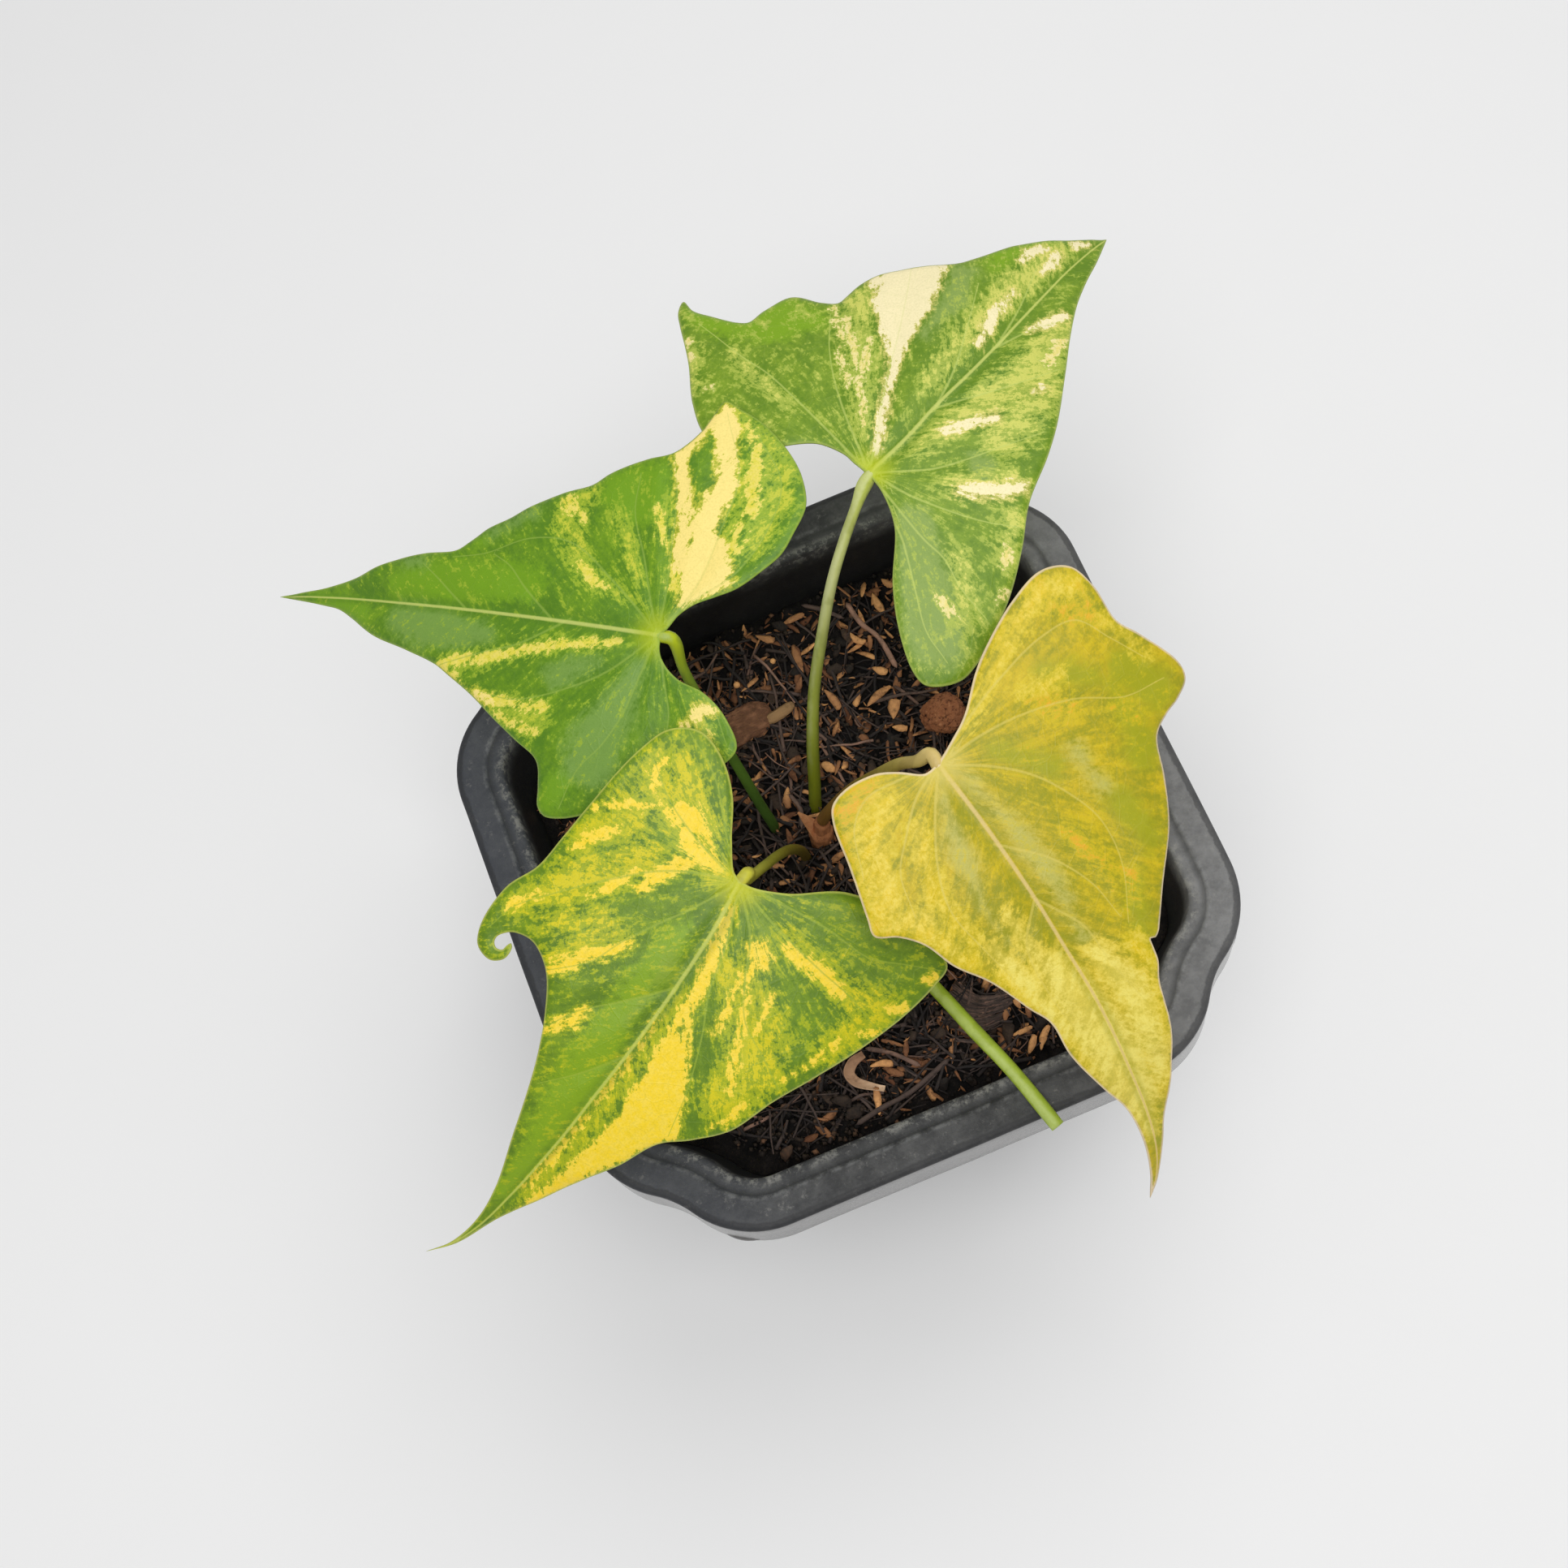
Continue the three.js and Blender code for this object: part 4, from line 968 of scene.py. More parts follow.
def at_height(flat, z):
    """A flat outline as points at a height."""
    return np.column_stack([flat, np.full(len(flat), z)])


def rim_ring(inset, z):
    """The rim's outline, moved in and set at a height."""
    return at_height(RIM_POINTS - RIM_NORMALS * inset, z)


def wall_ring(inset, z):
    """The tapered wall's outline at a height, moved in."""
    down = 1 - z / (POT_HEIGHT - POT_WALL)
    top = RIM_POINTS - RIM_NORMALS * (RIM_WIDTH - POT_WALL)
    foot = RIM_POINTS * BASE_SHARE
    return at_height(top + (foot - top) * down - RIM_NORMALS * inset, z)


def rounding(radius):
    """Steps round an edge: how far each lies from where the edge's two faces would meet."""
    return [(radius * (1 - math.sin(a)), radius * (1 - math.cos(a))) for a in ROUND_TURNS]


def pot_profile():
    """The pot's rings from the base outside, over the rim and down to the floor inside, with their zones."""
    top = POT_HEIGHT
    shelf = top - POT_WALL
    foot = top - RIM_SKIRT
    ledge = top - RIM_STEP
    band_end = RIM_BAND + RIM_STEP / 2
    skirt_height = top - EDGE_ROUND - foot
    zones = [
        ("body", [wall_ring(a, b) for a, b in rounding(EDGE_ROUND)]),
        ("body", [wall_ring(0, z) for z in WALL_STEPS]),
        ("body", [
            rim_ring(RIM_WIDTH - POT_WALL, shelf - 1),
            rim_ring(RIM_WIDTH - POT_WALL - 1, shelf),
            rim_ring(POT_WALL + 0.6, shelf),
            rim_ring(POT_WALL, shelf - 0.6),
            rim_ring(POT_WALL - SKIRT_FLARE, foot + 0.2),
            rim_ring(POT_WALL - SKIRT_FLARE - 0.3, foot),
            rim_ring(0.3 - SKIRT_FLARE, foot),
        ]),
        ("skirt", [rim_ring(-SKIRT_FLARE * share, foot + (1 - share) * skirt_height)
                   for share in (1, 0.8, 0.6, 0.4, 0.2, 0)]),
        ("shoulder", [rim_ring(b, top - a) for a, b in rounding(EDGE_ROUND)[1:]]),
        ("band", [rim_ring(inset, top) for inset in (EDGE_ROUND + 1.1, RIM_BAND - 1)]),
        ("step", [rim_ring(RIM_BAND - 0.5, top), rim_ring(RIM_BAND - 0.1, top - 0.12)]),
        ("gutter", [rim_ring(band_end, ledge + 0.1), rim_ring(band_end + 0.5, ledge)]),
        ("ledge", [rim_ring(RIM_WIDTH - EDGE_ROUND - 1.2, ledge)]),
        ("lip", [rim_ring(RIM_WIDTH - a, ledge - b) for a, b in rounding(EDGE_ROUND)[:-1]]),
        ("inside", [wall_ring(POT_WALL, z) for z in WALL_STEPS[::-1]]),
        ("inside", [wall_ring(POT_WALL + b, POT_WALL + a) for a, b in rounding(FLOOR_ROUND)]),
    ]
    return [(ring, zone) for zone, rings in zones for ring in rings]


def pot_finish():
    """Scuffed black plastic, dusty and worn at the lip. Also painted light: a painted highlight greys the
    right side, a bluish painted sheen lies on the left, a painted reflection makes the skirt pale, a painted
    highlight runs along the step, and painted shade darkens the gutter, the shoulder and the inside.
    """
    finish = Finish("recycled_pot_plastic")
    place = finish.place()
    clouds = finish.noise(place, 0.011, 5, 0.65)
    blots = finish.noise(place, 0.0034, 5, 0.7, shift=4)
    grain = finish.noise(place, 0.0006, 3, 0.7, shift=9)
    dust = finish.noise(place, 0.0022, 5, 0.8, shift=2)
    side = finish.node("ShaderNodeSeparateXYZ", None, {0: place}, output="X") * (1 / MM)
    skirt, shoulder, step, gutter, lip, inside = [finish.attribute(zone) for zone in POT_ZONES]
    grey = clouds.rises(0.34, 0.68) * 0.35 + blots.rises(0.36, 0.66) * 0.4 + grain * 0.25
    worn = lip * (dust * 0.6 + blots * 0.4).rises(0.47, 0.58)
    # Painted shade on the rounded shoulder of the rim, broken into blotches.
    shoulder_shade = (shoulder * 0.9 + (blots - 0.5) * 1.2 + (dust - 0.5)).rises(0.35, 0.75)
    colour = finish.covered(finish.mix(grey, paint((37, 38, 40)), paint((88, 88, 88))), [
        # Painted highlight: the right side turns greyer where the light falls on it.
        (side.rises(15, 70) * (0.35 + grey * 0.5), paint((138, 138, 138))),
        # Painted sheen: a bluish reflection on the left side.
        (side.falls(-72, -25) * 0.5, paint((72, 76, 86))),
        (dust.rises(0.56, 0.72) * 0.45, paint((144, 142, 138))),
        # Painted shade: the step's shadow darkens the gutter.
        (gutter * 0.4, paint((30, 31, 33))),
        # Painted highlight: a pale line along the step's edge, broken into blotches.
        (step * blots.rises(0.4, 0.7) * 0.5, paint((140, 141, 142))),
        (worn * 0.65, paint((150, 149, 143))),
        # Painted shade: the inside of the pot is darker where shade falls in it.
        (inside * 0.85, paint((20, 20, 21))),
        # Painted reflection: the skirt is paler than the plastic, as if it reflects the bright floor.
        (skirt * 0.8, finish.mix(grey, paint((66, 65, 64)), paint((106, 103, 100)))),
        # Painted shade: the shoulder's shadow line, in blotches.
        (shoulder_shade * 0.6, paint((34, 34, 36))),
    ])
    texture = grain * 0.5 + blots * 0.5
    shine = {"Specular IOR Level": 0.4, "Coat Weight": skirt * 0.9, "Coat Roughness": 0.2, "Coat IOR": 1.5}
    return finish.surface(colour, 0.5 + grain * 0.2, texture, 0.2, shine)


def make_pot():
    """The pot as rings from its base to its floor, a little uneven, with drain holes and lugs."""
    profile = pot_profile()
    rings = [ring for ring, zone in profile]
    count = len(rings[0])
    points = np.vstack([(0, 0, 0), *rings, (0, 0, POT_WALL)])
    dents = hills(points, 34, 3) * 0.35 + hills(points, 9, 4) * 0.06
    flat = points[:, :2]
    reach = np.maximum(np.linalg.norm(flat, axis=1), 1)
    above = np.clip((points[:, 2] - 10) / 60, 0, 1)
    points[:, :2] = flat * (1 + dents * above / reach)[:, None]
    faces = ring_faces(len(rings), count)
    zones = np.array(["body", *[zone for _, zone in profile for _ in range(count)], "inside"])
    fields = {zone: (zones == zone).astype(float) for zone in POT_ZONES}
    plastic = pot_finish()
    cut_drains(make_piece("nursery_pot", points, faces, plastic, "pot_plastic", ["pot"], fields))
    add_lugs(plastic)


def cut_drains(pot):
    """Drain holes through the pot's floor."""
    cutters = Heap()
    for quarter in range(4):
        for distance, angle in DRAINS:
            turn = math.radians(angle + 90 * quarter)
            middle = np.array([distance * math.cos(turn), distance * math.sin(turn)])
            points, faces, _ = tube([(*middle, -4), (*middle, 5)], DRAIN_RADIUS, 32)
            cutters.add(points, faces, 0)
    mesh = bpy.data.meshes.new("drains")
    mesh.from_pydata((np.vstack(cutters.points) * MM).tolist(), [], cutters.faces)
    cutter = placed("drains", mesh)
    cut = pot.modifiers.new("drains", "BOOLEAN")
    cut.operation = "DIFFERENCE"
    cut.solver = "EXACT"
    cut.object = cutter
    bpy.context.view_layer.update()
    whole = pot.evaluated_get(bpy.context.evaluated_depsgraph_get())
    holed = bpy.data.meshes.new_from_object(whole)
    pot.modifiers.clear()
    pot.data = holed
    bpy.data.objects.remove(cutter)


def add_lugs(plastic):
    """A low lug at the foot of the skirt, on one bend of each corner."""
    heap = Heap()
    corner = len(RIM_POINTS) // 4
    for quarter in range(4):
        index = (quarter + 1) * corner - LUG_BACK
        point, normal = RIM_POINTS[index], RIM_NORMALS[index]
        along = np.array([-normal[1], normal[0]])
        path = []
        for share in np.linspace(-1, 1, 9):
            middle = point + along * share * LUG_REACH - normal * (0.2 + 1.2 * share**2)
            path.append((*middle, POT_HEIGHT - RIM_SKIRT + LUG_RADIUS + 0.1))
        points, faces, _ = tube(path, rounded_ends(np.array(path), LUG_RADIUS), 16)
        heap.add(points, faces, 0.5)
    points = np.vstack(heap.points)
    make_piece("skirt_lugs", points, heap.faces, plastic, "pot_plastic", (), {"skirt": np.ones(len(points))})


# Potting mix

def mix_height(x, y):
    """The height of the mix, with lumps of three sizes."""
    low = np.sin(x * 0.09 + 1.1) * np.cos(y * 0.11 - 0.4)
    middle = np.sin(x * 0.31 - y * 0.17 + 0.6) * np.sin(y * 0.29 + 2.1)
    fine = np.sin(x * 0.83 + y * 0.41) * np.cos(y * 0.77 - x * 0.23)
    return MIX_TOP + MIX_LUMPS * (0.9 * low + 0.7 * middle + 0.35 * fine)


def crumb_finish():
    """Damp black mix with brown grit."""
    finish = Finish("damp_crumbs")
    place = finish.place()
    clods = finish.noise(place, 0.004, 5, 0.7)
    grit = finish.noise(place, 0.0007, 4, 0.8, shift=3)
    colour = finish.mix(clods.rises(0.38, 0.75), paint((22, 21, 21)), paint((54, 47, 44)))
    colour = finish.mix(grit.rises(0.58, 0.75) * 0.55, colour, paint((104, 82, 68)))
    return finish.surface(colour, 0.92 - grit * 0.2, grit, 0.6, {"Specular IOR Level": 0.25})


def scrap_finish(name, dark, light, fibre=(0.0008, 0.0008, 0.004), gloss=0.78, depth=0.25, stain=0.45):
    """Dry plant matter: each scrap has its own tint between dark and light, with fibres and stains."""
    finish = Finish(name)
    place = finish.place()
    tint = finish.attribute("tint")
    grain = finish.noise(place, fibre, 3, 0.6)
    stains = finish.noise(place, 0.0024, 4, 0.7, shift=6)
    shade = tint * 0.85 + grain * 0.4 - 0.15
    middle = [math.sqrt(a * b) for a, b in zip(dark, light)]
    colour = finish.mix(shade.rises(0.0, 0.55), paint(dark), paint(middle))
    colour = finish.mix(shade.rises(0.5, 1.05), colour, paint(light))
    colour = finish.mix(stains.rises(0.5, 0.7) * stain, colour, paint([c * 0.6 for c in dark]))
    return finish.surface(colour, gloss + grain * 0.15, grain, depth, {"Specular IOR Level": 0.3})


def bed_outline():
    """The outline of the mix against the pot's wall, in even steps."""
    ring = wall_ring(BED_INSIDE, MIX_TOP)[:, :2]
    closed = np.vstack([ring, ring[:1]])
    places = []
    for a, b in zip(closed, closed[1:]):
        count = math.ceil(np.linalg.norm(b - a) / MIX_GRID)
        places += [a + (b - a) * k / count for k in range(count)]
    return np.array(places)


def make_bed():
    """The body of the mix under its scraps, from a lumpy top down to the pot's floor."""
    outline = bed_outline()
    flat, triangles = filled(outline, MIX_GRID, MIX_GRID * 0.5)
    x, y = flat.T
    z = mix_height(x, y) + hills(flat, 5.5, 11) * 1.3 + hills(flat, 2.2, 12) * 0.8 - BED_DROP
    upper = np.column_stack([flat, z])
    share = (BASE_SHARE * RIM_SIDE / 2 - BED_INSIDE - FLOOR_ROUND) / outline[:, 0].max()
    lower = np.column_stack([flat * share, np.full(len(flat), POT_WALL + 0.3)])
    points, faces = thickened(upper, lower, triangles)
    make_piece("mix_bed", points, faces, crumb_finish(), "potting_mix", ["potting_mix"])


def in_bed(x, y, clear):
    """Whether a place on the mix is at least clear inside its edge."""
    half = RIM_SIDE / 2 - RIM_WIDTH - 1.5 - clear
    return max(abs(x), abs(y)) < half and abs(x) + abs(y) < 1.62 * half


def husk_shape(rng, length, width, sections=8, sides=7):
    """A split husk: a pointed boat with a rib along its back and a hollow side."""
    bend = rng.uniform(-0.05, 0.09) * length
    bow = rng.normal(0, 0.06) * length
    fat, torn = rng.uniform(0.55, 0.9), rng.uniform(0.66, 1)
    points = [(-length / 2, bow, -bend)]
    for share in np.linspace(0.08, 0.95, sections):
        girth = width * math.sin(math.pi * share * torn) ** fat * rng.uniform(0.85, 1.1)
        curve = (2 * share - 1) ** 2
        for k in range(sides):
            angle = 2 * math.pi * k / sides
            hollow = 0.5 if math.sin(angle) < -0.2 else 1
            y = 0.5 * girth * math.cos(angle) + bow * curve
            z = 0.3 * girth * math.sin(angle) * hollow - bend * curve
            points.append((length * (share - 0.5), y, z))
    points.append((length / 2, bow, -bend))
    return np.array(points), ring_faces(sections, sides)


def chip_shape(rng, half):
    """A torn flake with flat faces and broken edges."""
    sides = rng.integers(6, 9)
    angles = np.linspace(0, 2 * math.pi, sides, endpoint=False) + rng.uniform(-0.3, 0.3, sides)
    reach = rng.uniform(0.72, 1.1, sides)
    rim = np.column_stack([np.cos(angles) * reach * half[0], np.sin(angles) * reach * half[1]])
    warp = rng.uniform(-0.3, 0.3, sides)
    rings = [np.column_stack([rim * size, half[2] * (warp + level)])
             for size, level in ((0.86, 1), (1, 0), (0.86, -1))]
    points = np.vstack([(0, 0, half[2] * 1.05), *rings, (0, 0, -half[2])])
    return points, turned_over(ring_faces(3, sides))


def crumb_shape(rng, size):
    """A small rough clod."""
    base = np.array([(1, 0, 0), (-1, 0, 0), (0, 1, 0), (0, -1, 0), (0, 0, 1), (0, 0, -1)], float)
    faces = [(0, 2, 4), (2, 1, 4), (1, 3, 4), (3, 0, 4), (2, 0, 5), (1, 2, 5), (3, 1, 5), (0, 3, 5)]
    return base * size * rng.uniform(0.6, 1.2, (6, 1)), faces


def laid(points, x, y, z, heading, tilt, roll):
    """A shape turned and set down at a place."""
    turn = np.array(Euler((roll, tilt, heading)).to_matrix())
    return points @ turn.T + (x, y, z)


def scatter(rng, count, clear, chance=None):
    """Random places on the mix with a random heading."""
    found = 0
    while found < count:
        x, y = rng.uniform(-1, 1, 2) * RIM_SIDE / 2
        if not in_bed(x, y, clear):
            continue
        if chance is not None and rng.uniform() > chance(x, y):
            continue
        found += 1
        yield x, y, rng.uniform(0, 2 * math.pi)


def husk_chance(x, y):
    """Fewer husks lie at the front left."""
    return 0.3 if x < -15 and y < -25 else 1


def crumb_chance(x, y):
    """More crumbs show at the front left."""
    return 1 if x < -5 and y < -20 else 0.3


def make_husks():
    """Brown husks and slivers strewn over the mix, with the ones that lie clear and the pale grains."""
    rng = np.random.default_rng(21)
    heap = Heap()
    for x, y, heading in scatter(rng, HUSK_COUNT, 3.2, husk_chance):
        length = rng.uniform(3.2, 6.6)
        shape, faces = husk_shape(rng, length, rng.uniform(1, 2.1))
        lift = rng.uniform(-2.3, 1)
        tilt, roll = rng.normal(0, 0.4), rng.uniform(-0.8, 0.8)
        points = laid(shape, x, y, mix_height(x, y) + lift, heading, tilt, roll)
        ends = rng.uniform(-0.35, 0.35) * shape[:, 0] * 2 / length
        # Husks that lie deeper get a darker tint: painted shade among the scraps.
        heap.add(points, faces, np.clip(rng.beta(1.4, 1.6) + 0.12 * lift + ends, 0, 1.1))
    for x, y, heading in scatter(rng, SLIVER_COUNT, 2.2, husk_chance):
        length = rng.uniform(1.2, 3.6)
        shape, faces = husk_shape(rng, length, length * rng.uniform(0.15, 0.34), 4, 5)
        lift = rng.uniform(-2, 0.9)
        tilt, roll = rng.normal(0, 0.5), rng.uniform(-1, 1)
        points = laid(shape, x, y, mix_height(x, y) + lift, heading, tilt, roll)
        # Slivers that lie deeper get a darker tint: painted shade among the scraps.
        heap.add(points, faces, np.clip(rng.beta(1.3, 1.8) + 0.1 * lift, 0, 1))
    for (x, y), length, width, heading, tint in CLEAR_HUSKS:
        points, faces = husk_shape(rng, length, width)
        heap.add(laid(points, x, y, mix_height(x, y) + 1.3, math.radians(heading), 0, 0.1), faces, tint)
    grain, faces = ball(8, 12)
    for (x, y), size in PALE_GRAINS:
        heap.add(laid(grain * size, x, y, mix_height(x, y) + 1.2, 0, 0, 0), faces, GRAIN_TINT)
    finish = scrap_finish("dry_husk", (116, 76, 54), (252, 186, 122), depth=0.3, stain=0.6)
    heap.piece("husks", finish, "potting_mix")


def fibre_path(rng, x, y, heading, length, lift):
    """A bent line that lies over the mix."""
    count = 8
    step = length / (count - 1)
    bend = rng.normal(0, 0.09, count).cumsum() + rng.normal(0, 0.06)
    path = []
    for k, turn in enumerate(heading + bend):
        path.append((x, y, mix_height(x, y) + lift + 0.5 * math.sin(k * 1.1 + heading)))
        x += step * math.cos(turn)
        y += step * math.sin(turn)
    return np.array(path)


def add_twigs(heap):
    """The knotty twigs that lie over the mix."""
    for flat, radius, tint in TWIGS:
        path = curve_through([(x, y, mix_height(x, y) + 1.6) for x, y in flat], 1)
        knots = 1 + 0.18 * hills(path, 2.6, 27)
        points, faces, _ = tube(path, rounded_ends(path, radius) * knots, 9)
        heap.add(points, faces, tint)


def add_mat(rng, heap):
    """The mat of thin curved fibres."""
    middle, turn = np.array(MAT["at"]), math.radians(MAT["turn"])
    along = np.array([math.cos(turn), math.sin(turn)])
    across = np.array([-along[1], along[0]])
    for _ in range(MAT["strands"]):
        offset = rng.normal(0, MAT["width"] / 3)
        reach = MAT["length"] * rng.uniform(0.25, 0.5)
        path = []
        for share in np.linspace(-1, 1, 9):
            bow = offset + MAT["bow"] * (share - 0.1) ** 2 + rng.normal(0, 0.12)
            x, y = middle + along * (share * reach + offset * 0.4) + across * bow
            lift = 1.3 - 0.9 * (offset / MAT["width"]) ** 2 - 0.7 * share**2
            path.append((x, y, mix_height(x, y) + lift * rng.uniform(0.75, 1.1)))
        points, faces, _ = tube(path, rng.uniform(0.14, 0.27), 5)
        heap.add(points, faces, rng.uniform(0.15, 0.75))


def make_fibres():
    """Dark coir fibres strewn over the mix, with the twigs and the mat."""
    rng = np.random.default_rng(22)
    heap = Heap()
    for x, y, heading in scatter(rng, FIBRE_COUNT, 2):
        length = rng.uniform(5, 20)
        path = fibre_path(rng, x, y, heading, length, rng.uniform(-2, 1.3))
        if not in_bed(*path[-1][:2], 1.5):
            continue
        radius = rng.choice((rng.uniform(0.12, 0.3), rng.uniform(0.3, 0.55)))
        points, faces, _ = tube(path, np.linspace(radius, radius * 0.6, len(path)), 5)
        heap.add(points, faces, rng.beta(0.9, 2.4))
    add_twigs(heap)
    add_mat(rng, heap)
    finish = scrap_finish("coir_fibre", (46, 42, 42), (196, 150, 128), 0.002, depth=0.15)
    heap.piece("coir_fibres", finish, "potting_mix")


def make_bark_bits():
    """Small torn flakes of dark bark."""
    rng = np.random.default_rng(23)
    heap = Heap()
    for x, y, heading in scatter(rng, BARK_BIT_COUNT, 2.6):
        half = rng.uniform(1, 3.2) * np.array([1, rng.uniform(0.25, 0.7), rng.uniform(0.15, 0.35)])
        points, faces = chip_shape(rng, half)
        z = mix_height(x, y) + rng.uniform(-2.2, 0.6)
        points = laid(points, x, y, z, heading, rng.normal(0, 0.35), rng.normal(0, 0.35))
        heap.add(points, faces, rng.beta(1, 3))
    finish = scrap_finish("bark_bits", (38, 35, 34), (180, 124, 88), 0.001, depth=0.35)
    heap.piece("bark_bits", finish, "potting_mix")


def make_crumbs():
    """Crumbs of peat between the scraps."""
    rng = np.random.default_rng(24)
    heap = Heap()
    for x, y, heading in scatter(rng, CRUMB_COUNT, 1.2, crumb_chance):
        points, faces = crumb_shape(rng, rng.uniform(0.3, 0.95))
        z = mix_height(x, y) + rng.uniform(-2.4, 0.7)
        heap.add(laid(points, x, y, z, heading, 0, 0), faces, rng.beta(1.1, 2.4))
    finish = scrap_finish("peat_crumbs", (30, 28, 27), (170, 122, 90), 0.0006, depth=0.3)
    heap.piece("crumbs", finish, "potting_mix")


# Loose pieces on the mix

def seated(scrap):
    """The centre of a loose piece, sunk a little in the mix."""
    x, y = scrap["at"]
    return np.array([x, y, mix_height(x, y) + scrap["half"][2] * (1 - 2 * scrap["sink"])])


def ball(rows, columns):
    """A unit ball's points and faces."""
    points = [(0, 0, 1)]
    for polar in math.pi * np.arange(1, rows) / rows:
        for turn in 2 * math.pi * np.arange(columns) / columns:
            reach = math.sin(polar)
            points.append((reach * math.cos(turn), reach * math.sin(turn), math.cos(polar)))
    points.append((0, 0, -1))
    return np.array(points), turned_over(ring_faces(rows - 1, columns))


def make_clay_pellet():
    """A rough, porous ball of baked clay."""
    points, faces = ball(60, 100)
    rough = hills(points, 0.7, 31) * 0.1 + hills(points, 0.28, 32) * 0.07 + hills(points, 0.1, 33) * 0.05
    points = points * (1 + rough)[:, None] * CLAY_PELLET["half"] * 1.02
    points = laid(points, *seated(CLAY_PELLET), math.radians(CLAY_PELLET["turn"]), 0, 0)
    finish = Finish("baked_clay_pellet")
    place = finish.place()
    pores = finish.noise(place, 0.0009, 4, 0.75)
    patches = finish.noise(place, 0.003, 3, 0.6, shift=5)
    colour = finish.mix(patches, paint((160, 98, 66)), paint((196, 132, 94)))
    colour = finish.mix(pores.rises(0.56, 0.7) * 0.7, colour, paint((232, 170, 126)))
    # Dark spots in the pores: painted shade in the holes.
    colour = finish.mix(pores.falls(0.32, 0.48), colour, paint((66, 40, 30)))
    material = finish.surface(colour, 0.95, pores, 0.5, {"Specular IOR Level": 0.2})
    make_piece("clay_ball", points, faces, material, "baked_clay", ["clay_pellet"])


def slab_shape(half):
    """A flat chip with a rough outline, ragged layers and worn faces, bent down at its ends."""
    points, faces = ball(26, 60)
    points = np.sign(points) * np.abs(points) ** (0.75, 0.75, 0.45) * half
    outwards = points / np.linalg.norm(points, axis=1)[:, None]
    rough = hills(points, 2.2, 41) * 0.35 + hills(points, 0.8, 42) * 0.16
    points += outwards * rough[:, None]
    layers = hills(points * (0.3, 1, 2.5), 1, 43) * 0.42 + hills(points, 0.45, 44) * 0.12
    points[:, 2] += layers - 0.3 * (points[:, 0] / half[0]) ** 2
    return points, faces


def make_bark_chip():
    """The bark chip, and the pale flake that lies against it."""
    points, faces = slab_shape(BARK_CHIP["half"])
    points = laid(points, *seated(BARK_CHIP), math.radians(BARK_CHIP["turn"]), 0.05, 0.05)
    grain = (0.0026, 0.0006, 0.0006)
    finish = scrap_finish("bark_plate", (84, 56, 40), (178, 126, 94), grain, depth=0.8)
    fields = {"tint": np.clip(0.66 + hills(points, 1.1, 47) * 0.3, 0, 1)}
    make_piece("bark_plate", points, faces, finish, "bark", ["bark_chip"], fields)
    x, y = PALE_FLAKE["at"]
    points, faces = husk_shape(np.random.default_rng(43), PALE_FLAKE["length"], PALE_FLAKE["width"])
    points = laid(points, x, y, mix_height(x, y) + 2, math.radians(PALE_FLAKE["turn"]), -0.1, 0.2)
    grain = (0.003, 0.0007, 0.0007)
    finish = scrap_finish("pale_flake", (128, 98, 66), (190, 150, 106), grain, depth=0.3)
    make_piece("pale_flake", points, faces, finish, "bark", (), {"tint": np.full(len(points), 0.8)})


def band_shape(path, widths, thickness, tilt, columns):
    """A thin band along a path, tilted about it and cupped across."""
    tangents = np.gradient(path, axis=0)
    side = np.cross(tangents, (0, 0, 1))
    side /= np.linalg.norm(side, axis=1)[:, None]
    across = side * math.cos(tilt) + np.array([0, 0, math.sin(tilt)])
    upper = []
    for place, direction, width in zip(path, across, widths):
        for share in np.linspace(-0.5, 0.5, columns):
            upper.append(place + direction * width * share + (0, 0, 1.4 * share * share))
    upper = np.array(upper)
    return thickened(upper, upper - (0, 0, thickness), sheet_triangles(len(path), columns))


def make_wood_curl():
    """A curled shaving: a bent band with a torn end."""
    path = curve_through([(x, y, mix_height(x, y) + 1.4) for x, y in WOOD_CURL], 0.3)
    share = np.linspace(0, 1, len(path))
    path[:, 2] += 1.1 * (1 - share) ** 2
    widths = WOOD_CURL_WIDTH * (0.6 + 0.4 * np.sin(math.pi * np.clip(share * 1.1, 0, 1)))
    columns = 9
    points, faces = band_shape(path, widths, 0.8, 0.55, columns)
    points[:, 2] += hills(points, 1.3, 51) * 0.2
    grain = (0.002, 0.0008, 0.0008)
    finish = scrap_finish("pale_shaving", (150, 108, 82), (240, 206, 172), grain, depth=0.2)
    tint = 0.25 + 0.75 * np.tile(np.repeat(share, columns), 2)
    make_piece("wood_shaving", points, faces, finish, "pale_wood", ["wood_curl"], {"tint": tint})


# Blades

def leaf_height(blade, x, y):
    """Height over the blade's own plane: arched along, drooping at the sides and waved outwards."""
    along = x / blade["length"]
    side = np.where(y > 0, blade["droop"][0], blade["droop"][1])
    height, count, phase = blade["wave"]
    outwards = (np.hypot(x, y) / WAVE_REACH) ** 2
    ripple = height * outwards * np.sin(count * np.arctan2(y, x) + phase)
    return 4 * blade["arch"] * along * (1 - along) - side * y * y + ripple


def nearest_on(lines, flat):
    """For each point: the signed and the plain distance to the nearest line, and the share along it."""
    tangents = []
    for line in lines:
        steps = np.gradient(line, axis=0)
        tangents.append(steps / np.linalg.norm(steps, axis=1)[:, None])
    places, tangents = np.vstack(lines), np.vstack(tangents)
    shares = np.concatenate([np.linspace(0, 1, len(line)) for line in lines])
    tree = search_tree(places)
    found = [tree.find((x, y, 0)) for x, y in flat]
    index = np.array([number for _, number, _ in found])
    plain = np.array([distance for _, _, distance in found])
    offset = flat - places[index]
    signed = tangents[index][:, 0] * offset[:, 1] - tangents[index][:, 1] * offset[:, 0]
    return signed, plain, shares[index]


